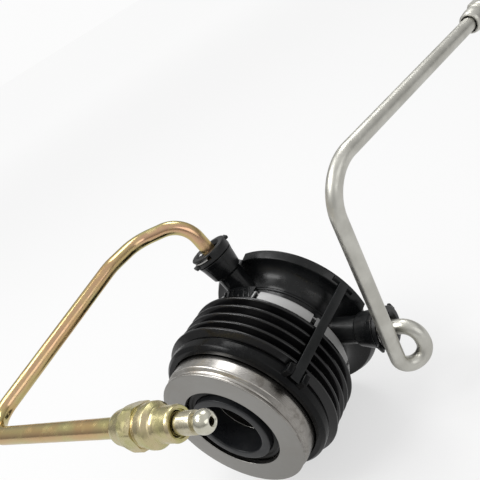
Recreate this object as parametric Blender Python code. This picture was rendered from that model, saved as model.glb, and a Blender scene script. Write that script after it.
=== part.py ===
"""Hydraulic clutch release bearing with its supply pipe and its bleed pipe.

The bearing slides on a guide tube round the gearbox input shaft. A moulded housing
feeds an annular piston, which carries the bearing forward against the clutch fingers.

Frame: origin at the centre of the flange's back face, bearing axis along Y, the
contact face towards -Y, the supply port along +X, +Z up. All sizes are in metres.
Places along the bearing axis are distances forward from the flange's back face.
"""

from math import acos, cos, pi, radians, sin, sqrt, tan

import bmesh
import bpy
from mathutils import Matrix, Vector

# Fits
GAP = 0.0003
SLIDE_FIT = 0.0003

# Guide tube round the input shaft
SHAFT_BORE = 0.0124
GUIDE_WALL = 0.0016
GUIDE_LENGTH = 0.0483
GUIDE_FLANGE_WIDTH = 0.0030
GUIDE_FLANGE_THICKNESS = 0.0015
GUIDE_SEAL_WIDTH = 0.0016

# Housing
FLANGE_RADIUS = 0.0356
RIM_WIDTH = 0.0034
RIM_DRAFT = 0.0016
FLARE_LIP = 0.0012
NECK_RADIUS = 0.0253
FLARE_LENGTH = 0.0076
NECK_LENGTH = 0.0064
NECK_BEAD = 0.0005
BARREL_WALL = 0.0030
BARREL_LENGTH = 0.0166
REAR_WALL = 0.0040
PISTON_THICKNESS = 0.0054

# Pipe ports
PORT_DISTANCE = 0.0105
BLEED_PORT_ANGLE = radians(102.7)
BOSS_BASE_RADIUS = 0.0053
BOSS_STEP = 0.0362
BOSS_STEP_RADIUS = 0.0064
BOSS_RADIUS = 0.0073
BOSS_END_RADIUS = 0.0078
BOSS_END = 0.0440
PORT_MOUTH = 0.0480
RETAINER_RADIUS = 0.0079
RETAINER_EAR = 0.0090
RETAINER_EAR_WIDTH = 0.0046
RETAINER_FLOOR = 0.0015
RETAINER_NIB_WIDTH = 0.0020
CLIP_SLOT = 0.0013
CLIP_SLOT_EDGE = 0.0022
CLIP_HALF_ANGLE = radians(60)
MOUTH_BORE = 0.0046
SOCKET_DEPTH = 0.0170
SEAL_SEAT_DEPTH = 0.0080
FEED_DRILL = 0.0016
PIPE_SEAL_WIDTH = 0.0024
SUPPLY_EAR_TURN = radians(110)
BLEED_EAR_TURN = radians(58)
RIM_DIP_ANGLE = radians(8)
RIM_DIP = 0.0026

# Steel pipes
PIPE_RADIUS = 0.0028
PIPE_WALL = 0.0009
SUPPLY_EXIT = 0.0574
SUPPLY_LOOP_LOW = Vector((0.0581, -0.0117, -0.0121))
SUPPLY_LOOP_FRONT = Vector((0.0499, -0.0194, -0.0125))
SUPPLY_TOP = Vector((0.0564, -0.0174, 0.0681))
SUPPLY_RUN = Vector((0.2391, 0.9709, -0.0084))
SUPPLY_BENDS = (0.0059, 0.0055, 0.0052, 0.0163)
BLEED_EXIT = 0.0624
BLEED_SHOULDER = Vector((-0.0292, -0.0226, 0.0629))
BLEED_ELBOW = Vector((-0.0300, -0.0383, 0.0637))
BLEED_FRONT = Vector((-0.0431, -0.1067, 0.0515))
BLEED_RUN = Vector((0.9969, 0.0650, 0.0450))
BLEED_BENDS = (0.0115, 0.0130, 0.0203, 0.0097)

# Supply nut
NUT_DISTANCE = 0.1020
NUT_LENGTH = 0.0190
NUT_RADIUS = 0.0046
NUT_BORE = 0.00335
NUT_LEAD = 0.0008
NUT_SLEEVE = 0.0056
NUT_EDGE = 0.0004
NUT_HEX_START = 0.0080
NUT_HEX_END = 0.0135
NUT_HEX_FLATS = 0.0096
NUT_THREAD_RADIUS = 0.0042
PIPE_FLARE = 0.0010

# Bleeder
BLEEDER_DISTANCE = 0.0668
BLEEDER_SOCKET = 0.0080
BLEEDER_HEX_FLATS = 0.0111
BLEEDER_CONE = 0.0055
BLEEDER_HEX_LENGTH = 0.0050
BLEEDER_HEX_LEAD = 0.0026
BLEEDER_GROOVE = 0.0010
BLEEDER_COLLAR_RADIUS = 0.0059
BLEEDER_COLLAR_LENGTH = 0.0079
BLEEDER_RING_RADIUS = 0.0044
BLEEDER_RING_LENGTH = 0.0044
BLEEDER_RECESS_WIDTH = 0.0008
BLEEDER_RECESS_DEPTH = 0.0020
BLEED_STEM_RADIUS = 0.0029
BLEED_STEM_REACH = 0.0046
NIPPLE_RADIUS = 0.00287
NIPPLE_NECK = 0.0025
NIPPLE_HOLE = 0.0010

# Spring and its seat
SEAT_RADIUS = 0.0304
SEAT_WALL = 0.0010
SEAT_LENGTH = 0.0089
SEAT_SLOTS = 8
SEAT_SLOT_ANGLE = radians(28.8)
SEAT_SLOT_WIDTH = 0.0014
SEAT_SLOT_LENGTH = 0.0073
SEAT_SLOT_REACH = 0.2
SPRING_FILL = 0.1875
SPRING_TURNS = 4.5

# Boot
BOOT_FOLD = 0.0031
BOOT_FRONT_RISE = 0.0020
BOOT_WALL = 0.0011
BOOT_PITCH = 0.0042
BOOT_FOLDS = 4
BOOT_BEAD_WIDTH = 0.0022
BOOT_FRONT_BEAD = 0.0020

# Piston
PISTON_SEAL_WIDTH = 0.0030
PISTON_SEAL_DISTANCE = 0.0126
PISTON_LENGTH = 0.0201
NOSE_BORE = 0.0121
NOSE_RADIUS = 0.0154
RACE_SEAT_RADIUS = 0.0169
FACE_DISTANCE = 0.0590
NOSE_PROUD = 0.0002

# Bearing
FACE_RADIUS = 0.0280
FACE_HOLE = 0.0189
FACE_THICKNESS = 0.0026
CUP_RADIUS = 0.0285
CUP_LENGTH = 0.0128
CUP_GROOVE = 0.0015
BALL_RADIUS = 0.00275
BALL_COUNT = 12
BALL_CLEARANCE = 0.0003
PITCH_RADIUS = 0.0226
BALL_DEPTH = 0.0070
CAGE_THICKNESS = 0.0014
CAGE_WIDTH = 0.0078
SHIELD_THICKNESS = 0.0008
FRONT_SEAL_WIDTH = 0.0011

# Bearing carrier
CARRIER_PLATE = 0.0028
CARRIER_LIP_RADIUS = 0.0322
CARRIER_LIP_LENGTH = 0.0048
CARRIER_GROOVE_RADIUS = 0.0302

# Shipping straps
STRAP_ANGLE = radians(24.7)
STRAP_WIDTH = 0.0035
STRAP_THICKNESS = 0.0011
STRAP_HEAD_WIDTH = 0.0090
STRAP_HEAD_LENGTH = 0.0014
STRAP_HEAD_DEPTH = 0.0012
STRAP_LET_IN = 0.0010
STRAP_START = 0.0009
STRAP_TONGUE = 0.0044
STRAP_TIP = 0.0010
STRAP_CLEARANCE = 0.0004
EAR_WIDTH = 0.0023
EAR_LENGTH = 0.0038
EAR_RISE = 0.0002

# Facets
ROUND_STEPS = 28
SMALL_STEPS = 18
TUBE_SIDES = 8
BEND_STEPS = 5
SPRING_STEPS = 20

# Places along the axis that follow from the sizes above
GUIDE_RADIUS = SHAFT_BORE + GUIDE_WALL
PISTON_BORE = GUIDE_RADIUS + SLIDE_FIT
CYLINDER_RADIUS = PISTON_BORE + PISTON_THICKNESS + SLIDE_FIT
BARREL_RADIUS = CYLINDER_RADIUS + BARREL_WALL
FLARE_END = RIM_WIDTH + FLARE_LENGTH
NECK_END = FLARE_END + NECK_LENGTH
BARREL_END = NECK_END + BARREL_LENGTH
SEAT_START = NECK_END + GAP
SEAT_END = SEAT_START + SEAT_LENGTH
BOOT_START = SEAT_END - BOOT_BEAD_WIDTH
FIRST_CREST = BOOT_START + 0.5 * BOOT_BEAD_WIDTH
LAST_CREST = FIRST_CREST + BOOT_FOLDS * BOOT_PITCH
BOOT_END = LAST_CREST + BOOT_FRONT_BEAD
CARRIER_LIP_START = BOOT_END + GAP
CARRIER_FRONT = CARRIER_LIP_START + 0.0005
CARRIER_REAR = CARRIER_FRONT - CARRIER_PLATE
RACE_REAR = CARRIER_FRONT + GAP
CUP_REAR = FACE_DISTANCE - CUP_LENGTH
BALL_PLACE = FACE_DISTANCE - BALL_DEPTH
RACEWAY = BALL_RADIUS + BALL_CLEARANCE
RACE_BORE = RACE_SEAT_RADIUS + GAP
PLATE_REAR = FACE_DISTANCE - FACE_THICKNESS
RACE_FRONT = PLATE_REAR - 0.0008
CARRIER_BORE = RACE_SEAT_RADIUS + GAP
BOOT_CREST = SEAT_RADIUS + BOOT_FOLD
BOOT_LAST_CREST = CARRIER_LIP_RADIUS + BOOT_FRONT_RISE
SPRING_WIRE = SPRING_FILL * (SEAT_RADIUS - SEAT_WALL - BARREL_RADIUS)
STRAP_INNER = max(BOOT_CREST, BOOT_LAST_CREST) + STRAP_CLEARANCE
STRAP_OUTER = STRAP_INNER + STRAP_THICKNESS
STRAP_HOOK = min(STRAP_INNER, FLANGE_RADIUS - STRAP_LET_IN) - STRAP_HEAD_DEPTH
EAR_START = CARRIER_LIP_START + GAP
STRAP_END = EAR_START + STRAP_TONGUE
PISTON_REAR = PISTON_SEAL_DISTANCE + PISTON_SEAL_WIDTH + GAP


def clear_scene():
    """Remove every object that the file starts with."""
    for thing in list(bpy.data.objects):
        bpy.data.objects.remove(thing)


def finish(name, colour, roughness, metallic):
    """A plain material of one colour."""
    surface = bpy.data.materials.new(name)
    surface.use_nodes = True
    shader = surface.node_tree.nodes["Principled BSDF"]
    shader.inputs["Base Color"].default_value = (*colour, 1.0)
    shader.inputs["Roughness"].default_value = roughness
    shader.inputs["Metallic"].default_value = metallic
    return surface


def axis_frame(origin, direction, side):
    """The frame at origin whose Z runs along direction and whose X leans to side."""
    z = Vector(direction).normalized()
    y = z.cross(Vector(side)).normalized()
    x = y.cross(z)
    turn = Matrix((x, y, z)).transposed().to_4x4()
    return Matrix.Translation(Vector(origin)) @ turn


def bearing_frame():
    """Z runs forward from the flange, X to the supply port and Y up."""
    return axis_frame((0, 0, 0), (0, -1, 0), (1, 0, 0))


def port_frame(angle):
    """Z runs out along a port, X to the rear of the bearing."""
    return axis_frame((0, -PORT_DISTANCE, 0), (cos(angle), 0, sin(angle)), (0, 1, 0))


def add_object(name, mesh, frame, surface):
    """Put a mesh in the scene under its name."""
    if surface is not None:
        mesh.materials.append(surface)
    thing = bpy.data.objects.new(name, mesh)
    thing.matrix_world = frame
    bpy.context.scene.collection.objects.link(thing)
    return thing


def mesh_object(name, bm, frame, surface):
    """Turn a bmesh into a smooth-shaded object with its faces pointing out."""
    bmesh.ops.remove_doubles(bm, verts=bm.verts, dist=1e-7)
    bmesh.ops.recalc_face_normals(bm, faces=bm.faces)
    mesh = bpy.data.meshes.new(name)
    bm.to_mesh(mesh)
    bm.free()
    mesh.shade_smooth()
    mesh.set_sharp_from_angle(angle=radians(35))
    return add_object(name, mesh, frame, surface)


def guide(thing):
    """Mark an object that only shapes another."""
    thing.hide_render = True
    thing.display_type = "WIRE"
    return thing


def combine(thing, other, operation):
    """Cut, join or intersect a piece with a guide object."""
    step = thing.modifiers.new(operation.lower(), "BOOLEAN")
    step.operation = operation
    step.solver = "EXACT"
    step.object = guide(other)
    return thing


def arc(along, radius, size, start, end, steps):
    """Points of an arc in a turned profile, its angles in degrees from the axis."""
    points = []
    for step in range(steps + 1):
        angle = radians(start + (end - start) * step / steps)
        points.append((along + size * cos(angle), radius + size * sin(angle)))
    return points


def spun_mesh(profile, steps, closed):
    """Spin a profile of points (along the axis, radius) once round Z."""
    bm = bmesh.new()
    verts = [bm.verts.new((radius, 0.0, along)) for along, radius in profile]
    ends = verts[1:] + (verts[:1] if closed else [])
    edges = [bm.edges.new(pair) for pair in zip(verts, ends)]
    bmesh.ops.spin(bm, geom=verts + edges, cent=(0, 0, 0), axis=(0, 0, 1), dvec=(0, 0, 0),
                   angle=2 * pi, steps=steps, use_merge=True, use_duplicate=False)
    return bm


def turned(name, profile, frame, surface=None, steps=ROUND_STEPS):
    """A ring turned from a closed profile that stays clear of the axis."""
    return mesh_object(name, spun_mesh(profile, steps, True), frame, surface)


def turned_solid(name, profile, frame, surface=None, steps=SMALL_STEPS):
    """A solid turned from a profile whose first and last points lie on the axis."""
    return mesh_object(name, spun_mesh(profile, steps, False), frame, surface)


def rod(name, start, end, radius, frame, steps=SMALL_STEPS):
    """A plain cylinder along the frame's Z, for a bore or a boss."""
    profile = [(start, 0.0), (start, radius), (end, radius), (end, 0.0)]
    return turned_solid(name, profile, frame, None, steps)


def block(name, low, high, frame, surface=None):
    """A rectangular block between two corners of a frame."""
    bm = bmesh.new()
    bmesh.ops.create_cube(bm, size=1.0)
    size = [b - a for a, b in zip(low, high)]
    middle = [(a + b) / 2 for a, b in zip(low, high)]
    bmesh.ops.scale(bm, vec=size, verts=bm.verts)
    bmesh.ops.translate(bm, vec=middle, verts=bm.verts)
    return mesh_object(name, bm, frame, surface)


def around(angle):
    """The bearing frame turned so that X points out at an angle round the axis."""
    return bearing_frame() @ Matrix.Rotation(angle, 4, "Z")


def guide_tube(surface):
    """The tube that the piston slides on, with a flange let into the housing."""
    flange = GUIDE_RADIUS + GUIDE_FLANGE_WIDTH
    profile = [
        (0.0, SHAFT_BORE + 0.0006), (0.0, flange), (GUIDE_FLANGE_THICKNESS, flange),
        (GUIDE_FLANGE_THICKNESS, GUIDE_RADIUS), (GUIDE_LENGTH - 0.0006, GUIDE_RADIUS),
        (GUIDE_LENGTH, GUIDE_RADIUS - 0.0005), (GUIDE_LENGTH, SHAFT_BORE + 0.0003),
        (GUIDE_LENGTH - 0.0004, SHAFT_BORE), (0.0006, SHAFT_BORE),
    ]
    return turned("guide_tube", profile, bearing_frame(), surface)


def housing_profile():
    """The half section of the moulded body without its ports."""
    tube = GUIDE_RADIUS + GAP
    pocket = GUIDE_RADIUS + GUIDE_FLANGE_WIDTH + GAP
    pocket_floor = GUIDE_FLANGE_THICKNESS + GAP
    seal_floor = pocket_floor + GUIDE_SEAL_WIDTH + GAP
    seal_wall = tube + GUIDE_SEAL_WIDTH
    rim_front = FLANGE_RADIUS - RIM_DRAFT
    flare_top = rim_front - FLARE_LIP
    flare_height = flare_top - NECK_RADIUS
    flare = [(RIM_WIDTH + FLARE_LENGTH * (1 - cos(radians(a))), flare_top - flare_height * sin(radians(a)))
             for a in (0, 18, 36, 54, 72, 90)]
    outside = [
        (0.0, pocket), (0.0, FLANGE_RADIUS - 0.0003), (0.0003, FLANGE_RADIUS),
        (RIM_WIDTH - 0.0003, rim_front + 0.0002), (RIM_WIDTH, rim_front), *flare,
        (FLARE_END, NECK_RADIUS + NECK_BEAD), (FLARE_END + 0.0010, NECK_RADIUS + NECK_BEAD),
        (FLARE_END + 0.0012, NECK_RADIUS), (NECK_END, NECK_RADIUS), (NECK_END, BARREL_RADIUS),
        (BARREL_END - 0.0008, BARREL_RADIUS), (BARREL_END, BARREL_RADIUS - 0.0008),
    ]
    inside = [
        (BARREL_END, CYLINDER_RADIUS + 0.0008), (BARREL_END - 0.0008, CYLINDER_RADIUS),
        (REAR_WALL + 0.0008, CYLINDER_RADIUS), (REAR_WALL, CYLINDER_RADIUS - 0.0008),
        (REAR_WALL, seal_wall), (pocket_floor, seal_wall), (pocket_floor, pocket),
    ]
    if seal_floor < REAR_WALL:
        inside[4:5] = [(REAR_WALL, tube), (seal_floor, tube), (seal_floor, seal_wall)]
    return outside + inside


def port_boss(name, angle):
    """The moulded boss of one pipe port, from inside the neck to its retainer."""
    root = CYLINDER_RADIUS + 0.0012
    profile = [
        (root, 0.0), (root, BOSS_BASE_RADIUS), (BOSS_STEP - 0.0006, BOSS_BASE_RADIUS),
        (BOSS_STEP, BOSS_STEP_RADIUS), (BOSS_END - 0.0020, BOSS_RADIUS), (BOSS_END, BOSS_END_RADIUS),
        (BOSS_END, 0.0),
    ]
    return turned_solid(name, profile, port_frame(angle), None, SMALL_STEPS)


def port_bore(name, angle):
    """The stepped hole from the mouth of a port to the cylinder behind the piston."""
    mouth = PORT_MOUTH + 0.001
    seat = PORT_MOUTH - SEAL_SEAT_DEPTH
    floor = PORT_MOUTH - SOCKET_DEPTH
    pipe = PIPE_RADIUS + GAP
    profile = [
        (CYLINDER_RADIUS - 0.0015, 0.0), (CYLINDER_RADIUS - 0.0015, FEED_DRILL), (floor, FEED_DRILL),
        (floor, pipe), (seat, pipe), (seat, MOUTH_BORE), (mouth, MOUTH_BORE), (mouth, 0.0),
    ]
    return turned_solid(name, profile, port_frame(angle), None, 20)


def strap_recess(label, angle):
    """The pocket in the flange rim that takes the head and the tape of a shipping strap."""
    start = STRAP_START - GAP
    top = max(FLANGE_RADIUS, STRAP_OUTER) + 0.002
    half = STRAP_HEAD_WIDTH / 2 + GAP
    end = STRAP_START + STRAP_HEAD_LENGTH + GAP
    pocket = block(label + "_pocket_cutter", (STRAP_HOOK - GAP, -half, start), (top, half, end), around(angle))
    half = STRAP_WIDTH / 2 + GAP
    low = (STRAP_INNER - GAP / 2, -half, start)
    channel = block(label + "_channel_cutter", low, (top, half, FLARE_END + 0.001), around(angle))
    return combine(pocket, channel, "UNION")


def rim_dip(label, angle):
    """The smooth dip in the flange rim behind a port."""
    steps = 8
    top = FLANGE_RADIUS + 0.0004
    outline = []
    for step in range(-steps, steps + 1):
        turn = RIM_DIP_ANGLE * step / steps
        radius = top - (RIM_DIP + 0.0004) * (1 + cos(pi * step / steps)) / 2
        outline.append((radius * cos(turn), radius * sin(turn)))
    outer = FLANGE_RADIUS + 0.004
    outline += [(outer, outer * sin(RIM_DIP_ANGLE)), (outer, -outer * sin(RIM_DIP_ANGLE))]
    bm = bmesh.new()
    face = bm.faces.new([bm.verts.new((x, y, -0.001)) for x, y in outline])
    raise_face(bm, face, (0, 0, RIM_WIDTH + 0.0012))
    return mesh_object(label + "_dip_cutter", bm, around(angle), None)


def raise_face(bm, face, offset):
    """Extrude a face into a plate and keep the face as its other side."""
    made = bmesh.ops.extrude_face_region(bm, geom=[face], use_keep_orig=True)["geom"]
    verts = [item for item in made if isinstance(item, bmesh.types.BMVert)]
    bmesh.ops.translate(bm, vec=offset, verts=verts)


def housing(surface):
    """The moulded body: mounting flange, flared neck, cylinder and two pipe ports."""
    body = turned("housing", housing_profile(), bearing_frame(), surface)
    for label, angle in (("supply", 0.0), ("bleed", BLEED_PORT_ANGLE)):
        combine(body, port_boss(label + "_boss", angle), "UNION")
    for label, angle in (("supply", 0.0), ("bleed", BLEED_PORT_ANGLE)):
        combine(body, port_bore(label + "_bore_cutter", angle), "DIFFERENCE")
    for label, angle in (("upper", STRAP_ANGLE), ("lower", STRAP_ANGLE + pi)):
        combine(body, strap_recess(label, angle), "DIFFERENCE")
    for label, angle in (("supply", 0.0), ("bleed", BLEED_PORT_ANGLE)):
        combine(body, rim_dip(label, angle), "DIFFERENCE")
    return body


def guide_seal(surface):
    """The ring that seals the guide tube in the back wall of the housing."""
    start = GUIDE_FLANGE_THICKNESS + 2 * GAP
    end = min(start + GUIDE_SEAL_WIDTH, REAR_WALL)
    inner = GUIDE_RADIUS + GAP
    outer = inner + GUIDE_SEAL_WIDTH - GAP
    crown = 0.0003
    profile = [
        (start, inner + crown), (start, outer - crown), (start + crown, outer), (end - crown, outer),
        (end, outer - crown), (end, inner + crown), (end - crown, inner), (start + crown, inner),
    ]
    return turned("guide_seal", profile, bearing_frame(), surface, SMALL_STEPS)


def pipe_seal(label, angle, surface):
    """The ring that seals a pipe in its port."""
    start = PORT_MOUTH - SEAL_SEAT_DEPTH + GAP
    end = start + PIPE_SEAL_WIDTH
    inner = PIPE_RADIUS + GAP
    outer = MOUTH_BORE - GAP
    profile = [
        (start, inner), (start, outer - 0.0003), (start + 0.0003, outer), (end - 0.0003, outer),
        (end, outer - 0.0003), (end, inner),
    ]
    return turned(label + "_pipe_seal", profile, port_frame(angle), surface, 16)


def ear_frame(angle, turn):
    """The frame of a port whose Y points to its retainer's ear."""
    return port_frame(angle) @ Matrix.Rotation(turn, 4, "Z")


def softened(thing, width):
    """Take the sharp edges off a guide block."""
    step = thing.modifiers.new("round", "BEVEL")
    step.width = width
    step.segments = 1
    return thing


def port_retainer(label, angle, turn, surface):
    """The cap of a port, with the slot for its clip, an ear and a nib."""
    start = BOSS_END + GAP
    slot = start + RETAINER_FLOOR
    crown = 0.0006
    frame = ear_frame(angle, turn)
    profile = [
        (start, MOUTH_BORE), (start, RETAINER_RADIUS), (PORT_MOUTH - crown, RETAINER_RADIUS),
        (PORT_MOUTH, RETAINER_RADIUS - crown), (PORT_MOUTH, MOUTH_BORE + 0.0004),
        (PORT_MOUTH - 0.0004, MOUTH_BORE),
    ]
    ring = turned(label + "_retainer", profile, frame, surface, SMALL_STEPS)
    reach = RETAINER_RADIUS + 0.001
    inside = RETAINER_RADIUS - 0.0012
    half = RETAINER_EAR_WIDTH / 2
    ear = block(label + "_ear", (-half, inside, start + 0.0002), (half, RETAINER_EAR, slot - 0.0001), frame)
    combine(ring, softened(ear, 0.0004), "UNION")
    half = RETAINER_NIB_WIDTH / 2
    nib = block(label + "_nib", (-half, -RETAINER_EAR, slot), (half, -inside, slot + CLIP_SLOT), frame)
    combine(ring, softened(nib, 0.0003), "UNION")
    low = (-reach, CLIP_SLOT_EDGE, slot)
    high = (reach, reach, slot + CLIP_SLOT)
    return combine(ring, block(label + "_slot_cutter", low, high, frame), "DIFFERENCE")


def port_clip(label, angle, turn, surface):
    """The spring clip in the slot of a retainer."""
    start = BOSS_END + GAP + RETAINER_FLOOR + GAP
    end = start + CLIP_SLOT - 2 * GAP
    inner = MOUTH_BORE + 0.0006
    outer = RETAINER_RADIUS - 0.0003
    bm = bmesh.new()
    corners = ((start, inner), (start, outer), (end, outer), (end, inner))
    first = bm.faces.new([bm.verts.new((radius, 0.0, along)) for along, radius in corners])
    bmesh.ops.spin(bm, geom=[first], cent=(0, 0, 0), axis=(0, 0, 1), dvec=(0, 0, 0),
                   angle=2 * CLIP_HALF_ANGLE, steps=14, use_merge=False, use_duplicate=False)
    frame = ear_frame(angle, turn) @ Matrix.Rotation(pi / 2 - CLIP_HALF_ANGLE, 4, "Z")
    return mesh_object(label + "_clip", bm, frame, surface)


def bend(before, corner, after, radius):
    """Where a fillet at a corner starts, its centre, its axis and its angle."""
    come = (before - corner).normalized()
    leave = (after - corner).normalized()
    opening = acos(max(-1.0, min(1.0, come.dot(leave))))
    start = corner + come * (radius / tan(opening / 2))
    centre = corner + (come + leave).normalized() * (radius / sin(opening / 2))
    return start, centre, come.cross(leave).normalized(), pi - opening


def points_of(region):
    """The points of a region of geometry."""
    return [item for item in region if isinstance(item, bmesh.types.BMVert)]


def push(bm, region, offset):
    """Extrude the open end of a pipe by an offset and return its new end."""
    made = bmesh.ops.extrude_face_region(bm, geom=region)["geom"]
    bmesh.ops.translate(bm, vec=offset, verts=points_of(made))
    return made


def pipe_end(bm, frame):
    """The ring of faces between the outer and the inner edge of a pipe's first end."""
    loops = []
    for radius in (PIPE_RADIUS, PIPE_RADIUS - PIPE_WALL):
        made = bmesh.ops.create_circle(bm, cap_ends=False, segments=TUBE_SIDES, radius=radius, matrix=frame)
        loops.append(made["verts"])
    outer, inner = loops
    for k in range(TUBE_SIDES):
        bm.faces.new((outer[k - 1], outer[k], inner[k], inner[k - 1]))
    return bm.verts[:] + bm.edges[:] + bm.faces[:]


def bent_pipe(name, corners, bends, surface, flare=0.0):
    """A steel pipe with an open bore along straight runs and bends."""
    bm = bmesh.new()
    end = pipe_end(bm, axis_frame(corners[0], corners[1] - corners[0], (0.31, 0.42, 0.85)))
    here = corners[0]
    for index, size in enumerate(bends):
        start, centre, axis, angle = bend(corners[index], corners[index + 1], corners[index + 2], size)
        end = push(bm, end, start - here)
        end = bmesh.ops.spin(bm, geom=end, cent=centre, axis=-axis, dvec=(0, 0, 0), angle=angle,
                             steps=BEND_STEPS, use_merge=False, use_duplicate=False)["geom_last"]
        here = centre + Matrix.Rotation(angle, 3, -axis) @ (start - centre)
    end = push(bm, end, corners[-1] - here)
    if flare > 0:
        heading = (corners[-1] - corners[-2]).normalized()
        end = push(bm, end, heading * flare)
        middle = corners[-1] + heading * flare
        for vert in points_of(end):
            spoke = vert.co - middle
            vert.co = middle + spoke * (1 + flare / spoke.length)
    return mesh_object(name, bm, Matrix.Identity(4), surface)


def pipe_start(angle):
    """The middle of the pipe's end at the floor of a port's socket."""
    return port_frame(angle) @ Vector((0, 0, PORT_MOUTH - SOCKET_DEPTH + GAP))


def supply_corners():
    """The corners of the supply pipe, from its port to the flare past its nut."""
    run = SUPPLY_RUN.normalized()
    end = SUPPLY_TOP + run * (NUT_DISTANCE + NUT_LENGTH + GAP)
    exit_point = port_frame(0.0) @ Vector((0, 0, SUPPLY_EXIT))
    return [pipe_start(0.0), exit_point, SUPPLY_LOOP_LOW, SUPPLY_LOOP_FRONT, SUPPLY_TOP, end]


def bleed_corners():
    """The corners of the bleed pipe, from its port to its end in the bleeder."""
    run = BLEED_RUN.normalized()
    end = BLEED_FRONT + run * (BLEEDER_DISTANCE + BLEEDER_SOCKET - GAP)
    exit_point = port_frame(BLEED_PORT_ANGLE) @ Vector((0, 0, BLEED_EXIT))
    return [pipe_start(BLEED_PORT_ANGLE), exit_point, BLEED_SHOULDER, BLEED_ELBOW, BLEED_FRONT, end]


def hexagon(name, start, end, flats, lead, frame):
    """A hexagonal bar with a corner towards X, its ends chamfered over a lead and as a nut's."""
    corner = flats / sqrt(3)
    face = flats / 2
    fall = (corner - face) * 0.6
    turn = Matrix.Translation((0, 0, (start + end) / 2)) @ Matrix.Rotation(radians(30), 4, "Z")
    bm = bmesh.new()
    bmesh.ops.create_cone(bm, cap_ends=True, segments=6, radius1=corner, radius2=corner, depth=end - start,
                          matrix=turn)
    bar = mesh_object(name, bm, frame, None)
    rim = corner + 0.0002
    profile = [(start, 0.0), (start, face), (start + lead, rim), (end - fall, rim), (end, face), (end, 0.0)]
    return combine(bar, turned_solid(name + "_chamfer", profile, frame, None, 20), "INTERSECT")


def supply_nut(surface):
    """The nut that turns freely on the end of the supply pipe."""
    run = SUPPLY_RUN.normalized()
    frame = axis_frame(SUPPLY_TOP + run * NUT_DISTANCE, run, (1, 0, 0))
    relief = NUT_RADIUS - NUT_EDGE
    profile = [
        (0.0, 0.0), (0.0, NUT_RADIUS - NUT_LEAD), (NUT_LEAD, relief), (0.6 * NUT_SLEEVE, NUT_RADIUS),
        (NUT_SLEEVE, NUT_RADIUS), (NUT_SLEEVE + NUT_EDGE, relief), (NUT_HEX_START - 2.5 * NUT_EDGE, relief),
        (NUT_HEX_START - 1.5 * NUT_EDGE, NUT_RADIUS), (NUT_HEX_END, NUT_RADIUS), (NUT_HEX_END, NUT_THREAD_RADIUS),
        (NUT_LENGTH - NUT_LEAD, NUT_THREAD_RADIUS), (NUT_LENGTH, NUT_THREAD_RADIUS - NUT_LEAD), (NUT_LENGTH, 0.0),
    ]
    nut = turned_solid("supply_nut", profile, frame, surface)
    bar = hexagon("supply_nut_hex", NUT_HEX_START, NUT_HEX_END, NUT_HEX_FLATS, 0.0006, frame)
    combine(nut, bar, "UNION")
    bore = rod("supply_nut_bore", -0.001, NUT_LENGTH + 0.001, NUT_BORE, frame, 16)
    return combine(nut, bore, "DIFFERENCE")


def bleeder_frame():
    """Z runs along the last run of the bleed pipe, from the back of the bleeder."""
    run = BLEED_RUN.normalized()
    return axis_frame(BLEED_FRONT + run * BLEEDER_DISTANCE, run, (0.04, -0.88, 0.46))


def bleeder_body(surface):
    """The hexagonal body at the end of the bleed pipe, with its round collar."""
    frame = bleeder_frame()
    hex_end = BLEEDER_CONE + BLEEDER_HEX_LENGTH
    collar = hex_end + BLEEDER_GROOVE
    shoulder = collar + BLEEDER_COLLAR_LENGTH
    front = shoulder + BLEEDER_RING_LENGTH
    core = BLEEDER_HEX_FLATS / 2 - 0.0001
    profile = [
        (0.0, 0.0), (0.0, PIPE_RADIUS + 0.0004), (0.0005, 0.0041), (0.0014, 0.0045),
        (BLEEDER_CONE, core), (hex_end, core), (hex_end + 0.0003, core - 0.0003), (collar - 0.0002, core - 0.0003),
        (collar + 0.0008, BLEEDER_COLLAR_RADIUS - 0.0003), (collar + 0.0020, BLEEDER_COLLAR_RADIUS),
        (shoulder - 0.0032, BLEEDER_COLLAR_RADIUS), (shoulder - 0.0016, BLEEDER_COLLAR_RADIUS - 0.0003),
        (shoulder - 0.0003, BLEEDER_RING_RADIUS + 0.0005), (shoulder, BLEEDER_RING_RADIUS - 0.0001),
        (shoulder + 0.0004, BLEEDER_RING_RADIUS - 0.0001), (shoulder + 0.0006, BLEEDER_RING_RADIUS),
        (front - 0.0005, BLEEDER_RING_RADIUS), (front, BLEEDER_RING_RADIUS - 0.0003), (front, 0.0),
    ]
    body = turned_solid("bleeder_body", profile, frame, surface)
    bar = hexagon("bleeder_hex", BLEEDER_CONE - 0.0002, hex_end, BLEEDER_HEX_FLATS, BLEEDER_HEX_LEAD, frame)
    combine(body, bar, "UNION")
    seat = shoulder - 0.0042
    hole = BLEED_STEM_RADIUS + GAP
    recess = front - BLEEDER_RECESS_DEPTH
    bore = [
        (-0.001, 0.0), (-0.001, PIPE_RADIUS + GAP), (BLEEDER_SOCKET, PIPE_RADIUS + GAP),
        (BLEEDER_SOCKET, NIPPLE_HOLE), (seat, NIPPLE_HOLE), (seat, hole), (recess, hole),
        (recess, hole + BLEEDER_RECESS_WIDTH - GAP), (front + 0.001, hole + BLEEDER_RECESS_WIDTH - GAP),
        (front + 0.001, 0.0),
    ]
    combine(body, turned_solid("bleeder_bore", bore, frame, None, 16), "DIFFERENCE")
    return body


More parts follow.
